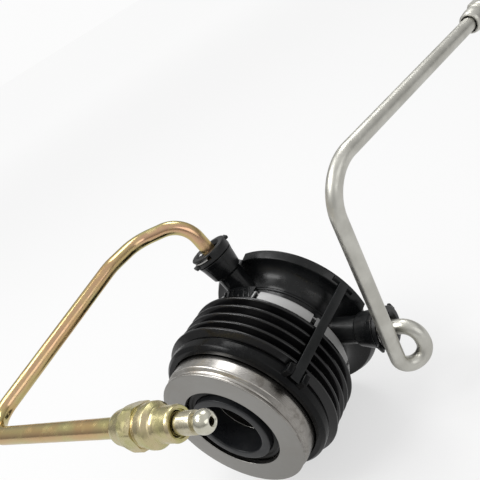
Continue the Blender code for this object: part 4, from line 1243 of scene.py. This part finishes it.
@dataclass
class BentPipe:
    """A steel pipe along straight runs and round bends."""

    corners: list[Vector]
    bends: tuple[float, ...]
    wall: float = 0.0009
    flare: float = 0.0
    sides: int = 36
    bend_steps: int = 22

    def fillet(self, index: int) -> tuple[Vector, Vector, Vector, float]:
        """Find the round of one bend.

        Args:
            index: Which bend, counted from the port.

        Returns:
            Where it starts, its centre, its axis and its angle.
        """
        before, corner, after = self.corners[index:index + 3]
        come = (before - corner).normalized()
        leave = (after - corner).normalized()
        opening = acos(max(-1.0, min(1.0, come.dot(leave))))
        size = self.bends[index]
        start = corner + come * (size / tan(opening / 2))
        centre = corner + (come + leave).normalized() * (size / sin(opening / 2))
        return start, centre, come.cross(leave).normalized(), pi - opening

    def first_end(self, bm: bmesh.types.BMesh) -> list:
        """Make the ring of faces at the pipe's end in its port.

        Args:
            bm: The mesh.

        Returns:
            The geometry of the ring.
        """
        place = axis_frame(self.corners[0], self.corners[1] - self.corners[0], (0.31, 0.42, 0.85))
        outer, inner = (
            bmesh.ops.create_circle(bm, cap_ends=False, segments=self.sides, radius=radius, matrix=place)["verts"]
            for radius in (LAYOUT.pipe_radius, LAYOUT.pipe_radius - self.wall))
        for k in range(self.sides):
            bm.faces.new((outer[k - 1], outer[k], inner[k], inner[k - 1]))
        return bm.verts[:] + bm.edges[:] + bm.faces[:]

    def push(self, bm: bmesh.types.BMesh, end: list, offset: Vector) -> list:
        """Carry the pipe's open end along a straight run.

        Args:
            bm: The mesh.
            end: The geometry of the end.
            offset: How far it goes.

        Returns:
            The geometry of the new end.
        """
        made = bmesh.ops.extrude_face_region(bm, geom=end)["geom"]
        bmesh.ops.translate(bm, vec=offset, verts=points_of(made))
        return made

    def build(self) -> Form:
        """Build the pipe with its open bore.

        Returns:
            The pipe.
        """
        bm = bmesh.new()
        end, here = self.first_end(bm), self.corners[0]
        for index in range(len(self.bends)):
            start, centre, axis, angle = self.fillet(index)
            end = self.push(bm, end, start - here)
            end = bmesh.ops.spin(bm, geom=end, cent=centre, axis=-axis, dvec=(0, 0, 0), angle=angle,
                                 steps=self.bend_steps, use_merge=False, use_duplicate=False)["geom_last"]
            here = centre + Matrix.Rotation(angle, 3, -axis) @ (start - centre)
        end = self.push(bm, end, self.corners[-1] - here)
        if self.flare > 0:
            heading = (self.corners[-1] - self.corners[-2]).normalized()
            end = self.push(bm, end, heading * self.flare)
            middle = self.corners[-1] + heading * self.flare
            for vert in points_of(end):
                spoke = vert.co - middle
                vert.co = middle + spoke * (1 + self.flare / spoke.length)
        return Form(bm, Matrix.Identity(4))


@dataclass
class SupplyLine:
    """The supply pipe with its tight loop, and the nut at its end."""

    looks: Looks
    top: Vector = field(default_factory=lambda: Vector((0.0564, -0.0174, 0.0681)))
    run: Vector = field(default_factory=lambda: Vector((0.2391, 0.9709, -0.0084)))
    nut_distance: float = 0.1020
    nut_length: float = 0.0190
    nut_radius: float = 0.0046
    nut_bore: float = 0.00335
    thread_radius: float = 0.0042
    thread_pitch: float = 0.0009

    def nut(self) -> Form:
        """Make the nut: grooved sleeve, hexagon and threaded end.

        Returns:
            The nut.
        """
        where = axis_frame(self.top + self.run.normalized() * self.nut_distance, self.run, (1, 0, 0))
        big, low = self.nut_radius, self.nut_radius - 0.0004
        thread = []
        here = 0.0141
        while here + self.thread_pitch < self.nut_length - 0.0006:
            thread += [(here, self.thread_radius - 0.0004, 0.0001),
                       (here + self.thread_pitch / 2, self.thread_radius, 0.0001)]
            here += self.thread_pitch
        corners = [
            (0, 0, 0), (0, big - 0.0008, 0.0003), (0.0010, big - 0.0003, 0.0004), (0.0035, big, 0.0006),
            (0.0056, big, 0.0002), (0.0060, low, 0.0001), (0.0070, low, 0.0001), (0.0074, big, 0.0002),
            (0.0135, big, 0.0001), (0.0135, self.thread_radius - 0.0004, 0), *thread,
            (self.nut_length - 0.0006, self.thread_radius - 0.0003, 0.0002),
            (self.nut_length, self.thread_radius - 0.0008, 0.0002), (self.nut_length, 0, 0),
        ]
        piece = turned_solid(corners, where, 72, 2)
        bar = Form(hexagon(0.0080, 0.0135, 0.0096), where)
        rim = 0.0096 / sqrt(3) + 0.0002
        bar.meet(turned_solid([(0.0080, 0, 0), (0.0080, 0.0048, 0), (0.0086, rim, 0), (0.0130, rim, 0),
                               (0.0135, 0.0048, 0), (0.0135, 0, 0)], where, 72))
        return piece.join(bar).cut(rod(-0.001, self.nut_length + 0.001, self.nut_bore, where, 64))

    def build(self) -> None:
        """Build the group's pieces."""
        way = self.run.normalized()
        corners = [
            port_frame(0) @ Vector((0, 0, 0.0313)), port_frame(0) @ Vector((0, 0, 0.0574)),
            Vector((0.0581, -0.0117, -0.0121)), Vector((0.0499, -0.0194, -0.0125)), self.top,
            self.top + way * (self.nut_distance + self.nut_length + LAYOUT.gap),
        ]
        pipe = BentPipe(corners, (0.0059, 0.0055, 0.0052, 0.0163), flare=0.0010).build()
        pipe.release("supply_line", self.looks.satin, Body.FIXED, "supply_pipe")
        self.nut().release("supply_line_nut", self.looks.satin, Body.NUT, "supply_nut", angle=24.0)


@dataclass
class BleedLine:
    """The bleed pipe, the bleeder's hexagonal body and its screw."""

    looks: Looks
    front: Vector = field(default_factory=lambda: Vector((-0.0431, -0.1067, 0.0515)))
    run: Vector = field(default_factory=lambda: Vector((0.9969, 0.0650, 0.0450)))
    distance: float = 0.0668
    socket: float = 0.0080
    flats: float = 0.0111
    cone: float = 0.0055
    hex_end: float = 0.0105
    collar: float = 0.0115
    collar_radius: float = 0.0059
    ridge: float = 0.0135
    seat: float = 0.0152
    ring_radius: float = 0.0045
    end: float = 0.0223
    stem: float = 0.0029
    stem_end: float = 0.0277
    ball: float = 0.0030
    neck: float = 0.0021
    hole: float = 0.0010

    def where(self) -> Matrix:
        """Give the bleeder's frame, Z along the pipe's last run."""
        start = self.front + self.run.normalized() * self.distance
        return axis_frame(start, self.run, (0.04, -0.88, 0.46))

    def body(self) -> Form:
        """Make the bleeder's body: domed neck, hexagon, groove, collar and ring.

        Returns:
            The body with its stepped bore.
        """
        core = self.flats / 2 - 0.0001
        collar, wide, ring = self.collar, self.collar_radius, self.ring_radius
        corners = [
            (0, 0, 0), (0, 0.0032, 0.0004), (0.0005, 0.0041, 0.0004), (0.0016, 0.0046, 0.0010),
            (self.cone, core, 0.0012), (self.hex_end, core, 0.0001), (self.hex_end + 0.0002, core - 0.0005, 0.0002),
            (collar - 0.0003, core - 0.0005, 0.0002), (collar, wide - 0.0003, 0.0003),
            (self.ridge - 0.0004, wide - 0.0002, 0.0001), (self.ridge - 0.0001, wide, 0.0001),
            (self.ridge + 0.0012, wide, 0.0006), (self.ridge + 0.0023, ring + 0.0005, 0.0003),
            (self.ridge + 0.0025, ring + 0.00015, 0.0002), (self.ridge + 0.0032, ring, 0.0005),
            (self.end - 0.0012, ring, 0.0001), (self.end - 0.0010, ring + 0.0001, 0.0001),
            (self.end, ring - 0.0002, 0.0004), (self.end - 0.0002, self.stem + 0.0006, 0.0002),
            (self.end - 0.0002, 0, 0),
        ]
        piece = turned_solid(corners, self.where(), 96)
        corner = self.flats / sqrt(3) + 0.0002
        bar = Form(hexagon(self.cone - 0.0002, self.hex_end, self.flats), self.where())
        bar.meet(turned_solid([
            (self.cone - 0.0002, 0, 0), (self.cone - 0.0002, self.flats / 2, 0), (self.cone + 0.0024, corner, 0.0006),
            (self.hex_end - 0.0003, corner, 0), (self.hex_end, self.flats / 2 + 0.0002, 0), (self.hex_end, 0, 0),
        ], self.where(), 96))
        piece.join(bar)
        pipe = LAYOUT.pipe_radius + LAYOUT.gap
        inside = self.stem + LAYOUT.gap
        seat, recess, rim = self.seat, self.end - 0.0012, inside + 0.0003
        hollow = [
            (-0.001, 0, 0), (-0.001, pipe, 0), (self.socket, pipe, 0), (self.socket, self.hole, 0),
            (seat, self.hole, 0), (seat, inside, 0), (recess, inside, 0.0001), (recess, rim, 0),
            (self.end + 0.001, rim, 0), (self.end + 0.001, 0, 0),
        ]
        return piece.cut(turned_solid(hollow, self.where(), 64, 2))

    def screw(self) -> Form:
        """Make the bleed screw with its drilled, ball-shaped nipple.

        Returns:
            The screw.
        """
        start = self.seat + LAYOUT.gap
        middle = self.stem_end + 0.0002 + sqrt(self.ball ** 2 - self.neck ** 2)
        dome = arc(middle, 0, self.ball, range(125, 28, -4))
        tip = dome[-1][0]
        corners = [
            (start, 0, 0), (start, self.stem - 0.0010, 0), (start + 0.0010, self.stem, 0),
            (self.stem_end - 0.0002, self.stem, 0.0002), (self.stem_end, self.neck, 0), *dome,
            (tip, self.hole + 0.0003, 0.0001), (tip - 0.0004, self.hole, 0), (start + 0.0015, self.hole, 0),
            (start + 0.0015, 0, 0),
        ]
        return turned_solid(corners, self.where(), 72)

    def build(self) -> None:
        """Build the group's pieces."""
        port = port_frame(LAYOUT.bleed_angle)
        end = self.front + self.run.normalized() * (self.distance + self.socket - LAYOUT.gap)
        corners = [
            port @ Vector((0, 0, 0.0313)), port @ Vector((0, 0, 0.0624)), Vector((-0.0292, -0.0226, 0.0629)),
            Vector((-0.0300, -0.0383, 0.0637)), self.front, end,
        ]
        pipe = BentPipe(corners, (0.0115, 0.0130, 0.0203, 0.0097)).build()
        pipe.release("bleed_line", self.looks.yellow, Body.FIXED, "bleed_pipe")
        self.body().release("bleeder_fitting", self.looks.pale, Body.FIXED, "bleeder_body", angle=24.0)
        screw = self.screw().release("bleed_nipple_screw", self.looks.nipple, Body.BLEED_SCREW, "bleeder_screw")
        back, neck = self.where().inverted(), self.stem_end + self.hole
        second_finish(screw, self.looks.tip, lambda spot: (back @ spot).z > neck)


@dataclass
class BootGroup:
    """The slotted spring seat, the preload spring and the rubber boot over it."""

    looks: Looks
    seat_wall: float = 0.0006
    slots: int = 8
    slot_angle: float = radians(28.8)
    slot_width: float = 0.0019
    slot_length: float = 0.0073
    wire: float = 0.0012
    spring_turns: float = 4.5
    crest: float = 0.0335
    last_crest: float = 0.0342
    fold: float = 0.0031
    wall: float = 0.0011
    folds: int = 4

    def seat(self) -> Form:
        """Make the slotted shell round the neck.

        Returns:
            The shell.
        """
        start, end, radius = LAYOUT.seat_start, LAYOUT.seat_end, LAYOUT.seat_radius
        inner, bore = radius - self.seat_wall, LAYOUT.barrel + LAYOUT.gap
        shell = turned([
            (start, bore, 0.0002), (start, radius, 0.0012), (end, radius, 0.0002), (end, inner, 0.0002),
            (start + self.seat_wall, inner, 0.0004), (start + self.seat_wall, bore, 0.0002),
        ], bearing_frame(), 180)
        half = self.slot_width / 2
        for index in range(self.slots):
            low, high = (inner - 0.0012, -half, start - 0.001), (radius + 0.001, half, start + self.slot_length)
            cutter = Form(block(low, high, 0.0003, 2), bearing_frame(self.slot_angle + index * 2 * pi / self.slots))
            shell.cut(cutter)
        return shell

    def spring(self) -> Form:
        """Make the coil, whose first and last half turns lie flat.

        Returns:
            The coil.
        """
        radius = (LAYOUT.barrel + LAYOUT.seat_radius - self.seat_wall) / 2
        low = LAYOUT.seat_start + self.seat_wall + self.wire + LAYOUT.gap
        rise = LAYOUT.carrier_rear - self.wire - LAYOUT.gap - low
        bm = bmesh.new()
        start = Matrix.Translation((radius, 0, low)) @ Matrix.Rotation(pi / 2, 4, "X")
        verts = bmesh.ops.create_circle(bm, cap_ends=True, segments=16, radius=self.wire, matrix=start)["verts"]
        loop = list({edge for vert in verts for edge in vert.link_edges})
        parts = ((0.5, 0.0), (self.spring_turns - 1.0, rise), (0.5, 0.0))
        for turns, climb in parts:
            steps = int(turns * 48)
            last = bmesh.ops.spin(bm, geom=loop + verts, cent=(0, 0, 0), axis=(0, 0, 1), dvec=(0, 0, climb / steps),
                                  angle=2 * pi * turns, steps=steps, use_merge=False, use_duplicate=False)["geom_last"]
            loop = [item for item in last if isinstance(item, bmesh.types.BMEdge)]
            verts = points_of(last)
        bm.faces.new(self.ring_order(verts))
        return Form(bm, bearing_frame())

    def ring_order(self, verts: list) -> list:
        """Put the points of an end loop in order round the wire.

        Args:
            verts: The points of the loop.

        Returns:
            The same points, each beside its neighbours.
        """
        order, here = [], verts[0]
        left = set(verts)
        while here is not None:
            order.append(here)
            left.discard(here)
            near = [edge.other_vert(here) for edge in here.link_edges]
            here = next((vert for vert in near if vert in left), None)
        return order

    def boot(self) -> Form:
        """Make the bellows, from its bead on the seat to its bead in the carrier.

        Returns:
            The bellows.
        """
        flat, root = 0.0006, self.crest - self.fold
        outside = [(LAYOUT.boot_start, self.crest - 0.0006, 0.0003)]
        inside = []
        for index in range(self.folds + 1):
            place = LAYOUT.first_crest + index * LAYOUT.crest_pitch
            top = self.last_crest if index == self.folds else self.crest
            outside += [(place - 0.75 * flat, top, 0.0006), (place + 0.75 * flat, top, 0.0006)]
            if 0 < index < self.folds:
                inside.append((place, top - self.wall, 0.0008))
            if index < self.folds:
                valley = place + LAYOUT.crest_pitch / 2
                outside += [(valley - 0.9 * flat, root, 0.0006), (valley + 0.9 * flat, root, 0.0006)]
                inside.append((valley, root - self.wall, 0.0007))
        grip = LAYOUT.groove_radius + LAYOUT.gap
        sleeve = LAYOUT.seat_radius + LAYOUT.gap
        shelf = LAYOUT.seat_end + LAYOUT.gap
        outside += [(LAYOUT.boot_end, LAYOUT.lip_radius - 0.0006, 0.0004), (LAYOUT.boot_end, grip, 0.0002),
                    (LAYOUT.last_crest, grip, 0)]
        inside = [corner for corner in inside if shelf + 0.0006 < corner[0] < LAYOUT.last_crest - 0.0002]
        rear = [(shelf, root - self.wall, 0.0001), (shelf, sleeve, 0.0001), (LAYOUT.boot_start, sleeve, 0.0002)]
        front = [(LAYOUT.last_crest - 0.0004, self.last_crest - self.wall, 0)]
        return turned(outside + front + inside[::-1] + rear, bearing_frame(), 180, 5)

    def build(self) -> None:
        """Build the group's pieces."""
        self.seat().release("seat_shell", self.looks.band, Body.FIXED, "spring_seat")
        coil = self.spring().release("preload_coil", self.looks.coil, None, "preload_spring")
        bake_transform(coil)
        bellows = self.boot().release("bellows", self.looks.boot, None, "boot")
        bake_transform(bellows)


@dataclass
class SlideGroup:
    """What slides on the guide tube: piston, its seal, bearing carrier, inner race and front seal."""

    looks: Looks
    piston_rear: float = 0.0159
    piston_length: float = 0.0201
    nose_bore: float = 0.0121
    nose_radius: float = 0.0154
    proud: float = 0.0002
    cup_bore: float = 0.0289
    lip_length: float = 0.0048
    ear_width: float = 0.0023
    ear_length: float = 0.0038

    def piston(self) -> Form:
        """Make the annular piston with its long nose.

        Returns:
            The piston.
        """
        crown = LAYOUT.cylinder - LAYOUT.gap
        rear, shoulder = self.piston_rear, self.piston_rear + self.piston_length
        nose, end, step = LAYOUT.race_front + LAYOUT.gap, LAYOUT.face + self.proud, 0.0486
        return turned([
            (rear, LAYOUT.piston_bore, 0.0002), (rear, crown, 0.0003), (shoulder, crown, 0.0006),
            (shoulder + 0.0006, LAYOUT.race_seat, 0.0002), (nose, LAYOUT.race_seat, 0.0001),
            (nose, self.nose_radius, 0.0001), (end, self.nose_radius, 0.0005), (end, self.nose_bore, 0.0006),
            (step, self.nose_bore, 0.0002), (step, LAYOUT.piston_bore, 0.0001),
        ], bearing_frame(), 144)

    def carrier(self) -> Form:
        """Make the moulded carrier with its boot groove, its lip and the strap ears.

        Returns:
            The carrier.
        """
        start, lip = LAYOUT.lip_start, LAYOUT.lip_radius
        front = start + 0.0005 + self.lip_length
        bore = LAYOUT.race_seat + LAYOUT.gap
        piece = turned([
            (LAYOUT.carrier_rear, bore, 0.0002), (LAYOUT.carrier_front, bore, 0.0002),
            (LAYOUT.carrier_front, self.cup_bore, 0), (front, self.cup_bore, 0.0002), (front, lip - 0.0014, 0.0003),
            (front - 0.0013, lip - 0.0002, 0.0008), (start + 0.0012, lip, 0.0006), (start, lip - 0.0005, 0.0002),
            (start, LAYOUT.groove_radius, 0.0001), (LAYOUT.carrier_rear, LAYOUT.groove_radius, 0.0002),
        ], bearing_frame(), 180)
        gap = LAYOUT.strap_width / 2 + LAYOUT.gap
        low, high = start + LAYOUT.gap, start + LAYOUT.gap + self.ear_length
        for angle in LAYOUT.strap_angles:
            for side in (-1, 1):
                near, far = sorted((side * gap, side * (gap + self.ear_width)))
                ear = block((lip - 0.0012, near, low), (LAYOUT.strap_outer + 0.0002, far, high), 0.0004)
                piece.join(Form(ear, bearing_frame(angle)))
        return piece

    def build(self) -> None:
        """Build the group's pieces."""
        self.piston().release("piston_and_nose", self.looks.nose, Body.SLIDER, "piston")
        start, inner, outer = 0.0126, LAYOUT.piston_bore, LAYOUT.cylinder - LAYOUT.gap
        turned([
            (start, inner, 0), (start, inner + 0.0008, 0.0002), (start + 0.0018, (inner + outer) / 2, 0.0004),
            (start, outer - 0.0008, 0.0002), (start, outer, 0), (start + 0.0030, outer, 0.0002),
            (start + 0.0030, inner, 0.0002),
        ], bearing_frame(), 96).release("piston_lip_seal", self.looks.seal, Body.SLIDER, "piston_seal")
        self.carrier().release("carrier_moulding", self.looks.carrier, Body.SLIDER, "bearing_carrier")
        groove = arc(LAYOUT.ball_place, LAYOUT.pitch_radius, LAYOUT.raceway, range(207, 271, 7))
        rear, bore = LAYOUT.carrier_front + LAYOUT.gap, LAYOUT.race_seat + LAYOUT.gap
        turned([(rear, bore, 0.0003), (rear, groove[0][1], 0.0002), *groove, (LAYOUT.race_front, groove[-1][1], 0.0002),
                (LAYOUT.race_front, bore, 0.0002)], bearing_frame(), 144).release(
            "inner_ball_ring", self.looks.guide, Body.SLIDER, "inner_race")
        start, inner, outer = LAYOUT.race_front + LAYOUT.gap, self.nose_radius + LAYOUT.gap, 0.0185
        turned([(start, inner, 0.0001), (start, outer, 0.0002), (start + 0.0011, outer, 0.0004),
                (start + 0.0007, outer - 0.0011, 0.0004), (start + 0.0011, inner, 0.0003)],
               bearing_frame(), 144).release("front_lip_seal", self.looks.seal, Body.SLIDER, "front_seal")


@dataclass
class BearingGroup:
    """What turns: the contact cup, its shield, the cage and the balls."""

    looks: Looks
    face_radius: float = 0.0280
    face_hole: float = 0.0189
    cup_radius: float = 0.0285
    cup_length: float = 0.0128
    groove: float = 0.0011
    balls: int = 12

    def cup(self) -> Form:
        """Make the cup whose flat face meets the clutch fingers.

        Returns:
            The cup.
        """
        face, rear, side = LAYOUT.face, LAYOUT.face - self.cup_length, self.cup_radius
        track = arc(LAYOUT.ball_place, LAYOUT.pitch_radius, LAYOUT.raceway, range(20, 91, 7))
        waist = self.face_radius - self.groove
        return turned([
            (rear, side, 0.0004), (face - 0.0036, side, 0.0009), (face - 0.0026, waist + 0.0004, 0.0006),
            (face - 0.0020, waist, 0.0004), (face - 0.0014, waist + 0.0003, 0.0004),
            (face - 0.0010, self.face_radius, 0.0003), (face, self.face_radius, 0.0005), (face, self.face_hole, 0.0004),
            (LAYOUT.plate_rear, self.face_hole, 0.0002), (LAYOUT.plate_rear, track[0][1], 0), *track,
            (rear, track[-1][1], 0.0002),
        ], bearing_frame(), 216)

    def cage(self) -> Form:
        """Make the cage with a pocket for each ball.

        Returns:
            The cage.
        """
        place, inner, outer = LAYOUT.ball_place, LAYOUT.pitch_radius - 0.0007, LAYOUT.pitch_radius + 0.0007
        ring = washer(place - 0.0039, place + 0.0039, inner, outer, (0.0002, 0.0002), bearing_frame(), 144)
        for index in range(self.balls):
            angle = 2 * pi * (index + 0.5) / self.balls
            where = axis_frame((0, -place, 0), (cos(angle), 0, sin(angle)), (0, 1, 0))
            ring.cut(rod(inner - 0.002, outer + 0.002, LAYOUT.raceway, where, 40))
        return ring

    def ball(self, index: int) -> Form:
        """Make one ball.

        Args:
            index: Which ball, counted from nought.

        Returns:
            The ball.
        """
        bm = bmesh.new()
        angle = 2 * pi * (index + 0.5) / self.balls
        across, up = LAYOUT.pitch_radius * cos(angle), LAYOUT.pitch_radius * sin(angle)
        bmesh.ops.create_icosphere(bm, subdivisions=4, radius=LAYOUT.ball_radius,
                                   matrix=Matrix.Translation((across, up, LAYOUT.ball_place)))
        return Form(bm, bearing_frame())

    def build(self) -> None:
        """Build the group's pieces."""
        cup = self.cup().release("contact_cup", self.looks.cup, Body.RACE, "contact_race")
        second_finish(cup, self.looks.face,
                      lambda spot: spot.y < -LAYOUT.face + 0.0003 and self.face_hole < spot.length)
        start = LAYOUT.face - self.cup_length + 0.0002
        inner = LAYOUT.pitch_radius + LAYOUT.raceway * sin(radians(207)) + 0.0004
        outer = LAYOUT.pitch_radius + LAYOUT.ball_radius
        shield = washer(start, start + 0.0008, inner, outer, (0.0002, 0.0002), bearing_frame(), 144)
        shield.release("cup_shield", self.looks.band, Body.RACE, "rear_shield")
        self.cage().release("ball_cage_ring", self.looks.nose, Body.CAGE, "ball_cage")
        for index in range(self.balls):
            label = f"{index + 1:02d}"
            self.ball(index).release("bearing_ball_" + label, self.looks.spring, Body.CAGE, "ball_" + label)


@dataclass
class StrapGroup:
    """The shipping straps that hold the bearing back until it is fitted."""

    looks: Looks
    head_width: float = 0.0090
    head_length: float = 0.0014
    head_depth: float = 0.0012
    start: float = 0.0009
    end: float = 0.0493

    def strap(self, angle: float) -> Form:
        """Make one strap: hooked head, flat tape with rounded edges, bevelled tongue.

        Args:
            angle: Where it lies round the bearing axis.

        Returns:
            The strap.
        """
        inner, outer, half = LAYOUT.strap_inner, LAYOUT.strap_outer, LAYOUT.strap_width / 2
        where = bearing_frame(angle)
        bm = block((inner, -half, self.start), (outer, half, self.end), 0)
        tip = [v for v in bm.verts if v.co.z > self.end - 1e-6 and v.co.x > outer - 1e-6]
        bmesh.ops.translate(bm, vec=(-0.0006, 0, 0), verts=tip)
        bmesh.ops.bevel(bm, geom=bm.edges[:], offset=0.00018, affect="EDGES", segments=3, profile=0.5, material=-1)
        tape = Form(bm, where)
        low = (inner - self.head_depth, -self.head_width / 2, self.start)
        high = (outer - 0.0001, self.head_width / 2, self.start + self.head_length)
        return tape.join(Form(block(low, high, 0.00025), where))

    def build(self) -> None:
        """Build the group's pieces."""
        for label, angle in zip(("upper", "lower"), LAYOUT.strap_angles):
            self.strap(angle).release(label + "_tape", self.looks.strap, Body.FIXED, label + "_strap")


# Studio


@dataclass
class Studio:
    """The floor, the soft lights, the surroundings and the camera."""

    camera_place: tuple[float, float, float] = (0.16045, -0.16984, 0.14294)
    right: tuple[float, float, float] = (0.756068, 0.439405, -0.485061)
    up: tuple[float, float, float] = (0.147448, 0.607719, 0.780344)
    back: tuple[float, float, float] = (0.637668, -0.661514, 0.394687)
    lens: float = 48.75
    floor_height: float = -0.0372
    floor_size: float = 6.0
    floor_tone: float = 0.30
    near_glow: float = 0.625
    far_glow: float = 0.765
    mirrored: float = 0.6
    sky: float = 0.97

    def camera(self) -> None:
        """Stand the camera at the photograph's viewing angle."""
        lens = bpy.data.cameras.new("camera")
        lens.lens = self.lens
        lens.sensor_width = 36.0
        lens.clip_start = 0.005
        lens.clip_end = 50.0
        eye = bpy.data.objects.new("camera", lens)
        turn = Matrix((self.right, self.up, self.back)).transposed().to_4x4()
        eye.matrix_world = Matrix.Translation(self.camera_place) @ turn
        bpy.context.scene.collection.objects.link(eye)
        bpy.context.scene.camera = eye

    def floor(self) -> None:
        """Lay a plain pale floor that keeps the object's soft shadow."""
        bm = bmesh.new()
        bmesh.ops.create_circle(bm, cap_ends=True, segments=96, radius=self.floor_size,
                                matrix=Matrix.Translation((0, 0, self.floor_height)))
        mesh = bpy.data.meshes.new("floor")
        bm.to_mesh(mesh)
        bm.free()
        material = bpy.data.materials.new("pale floor")
        material.use_nodes = True
        graph = Graph(material.node_tree)
        shader = material.node_tree.nodes["Principled BSDF"]
        shader.inputs["Base Color"].default_value = (self.floor_tone, self.floor_tone, self.floor_tone, 1.0)
        shader.inputs["Roughness"].default_value = 0.9
        shader.inputs["Specular IOR Level"].default_value = 0.1
        glow = graph.add("Emission")
        path = graph.add("LightPath")
        mirrored = graph.math("MULTIPLY", path.outputs["Is Glossy Ray"], self.mirrored)
        seen = graph.math("MAXIMUM", path.outputs["Is Camera Ray"], mirrored)
        away = graph.add("VectorMath", operation="LENGTH")
        graph.feed(away.inputs[0], graph.add("TexCoord").outputs["Object"])
        level = graph.span(away.outputs["Value"], 0.2, 1.6, self.near_glow, self.far_glow)
        graph.feed(glow.inputs["Strength"], graph.math("MULTIPLY", seen, level))
        both = graph.add("AddShader")
        graph.feed(both.inputs[0], shader.outputs[0])
        graph.feed(both.inputs[1], glow.outputs[0])
        graph.feed(material.node_tree.nodes["Material Output"].inputs[0], both.outputs[0])
        mesh.materials.append(material)
        ground = bpy.data.objects.new("floor", mesh)
        bpy.context.scene.collection.objects.link(ground)

    def surroundings(self) -> None:
        """Surround the object with soft white that is darker low down and behind."""
        world = bpy.data.worlds.new("surroundings")
        world.use_nodes = True
        bpy.context.scene.world = world
        graph = Graph(world.node_tree)
        back = world.node_tree.nodes["Background"]
        way = graph.add("TexCoord").outputs["Generated"]
        split = graph.add("SeparateXYZ")
        graph.feed(split.inputs[0], way)
        back.inputs["Color"].default_value = (1.0, 1.0, 1.0, 1.0)
        shade = graph.span(split.outputs[2], -0.05, 0.85, 0.26, 0.66)
        camera = graph.math("MULTIPLY", graph.add("LightPath").outputs["Is Camera Ray"], self.sky)
        graph.feed(back.inputs["Strength"], graph.math("MAXIMUM", camera, shade))

    def light(self, name: str, place: Vector, size: tuple[float, float], power: float) -> None:
        """Hang a soft light that looks at the object.

        Args:
            name: The light's name.
            place: Where it hangs.
            size: Its width and height.
            power: Its power in watts.
        """
        lamp = bpy.data.lights.new(name, "AREA")
        lamp.shape = "RECTANGLE"
        lamp.size, lamp.size_y = size
        lamp.energy = power
        thing = bpy.data.objects.new(name, lamp)
        thing.matrix_world = axis_frame(place, Vector(place) - Vector((0.0, -0.03, 0.01)), (0, 0.2, 1))
        bpy.context.scene.collection.objects.link(thing)

    def build(self) -> None:
        """Build the stage."""
        scene = bpy.context.scene
        scene.view_settings.view_transform = "Standard"
        self.camera()
        self.floor()
        self.surroundings()
        self.light("key light", Vector((-0.25, -0.45, 0.75)), (0.30, 0.30), 2.5)
        self.light("top light", Vector((-0.33, -0.10, 0.68)), (0.36, 0.22), 1.1)
        self.light("fill light", Vector((0.75, -0.25, 0.35)), (0.4, 0.6), 0.8)
        self.light("back light", Vector((-0.06, 0.46, 0.72)), (0.34, 0.34), 1.5)


def main() -> None:
    """Build every sub-assembly in order."""
    logging.basicConfig(level=logging.INFO, format="%(message)s")
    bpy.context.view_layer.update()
    Studio().build()
    looks = Looks(Effects())
    groups = (
        HousingGroup(looks),
        PortGroup(looks, "supply", 0.0, radians(110)),
        PortGroup(looks, "bleed", LAYOUT.bleed_angle, radians(58)),
        SupplyLine(looks),
        BleedLine(looks),
        BootGroup(looks),
        SlideGroup(looks),
        BearingGroup(looks),
        StrapGroup(looks),
    )
    for group in groups:
        group.build()
        LOG.info("%s built", type(group).__name__)


if __name__ == "__main__":
    main()
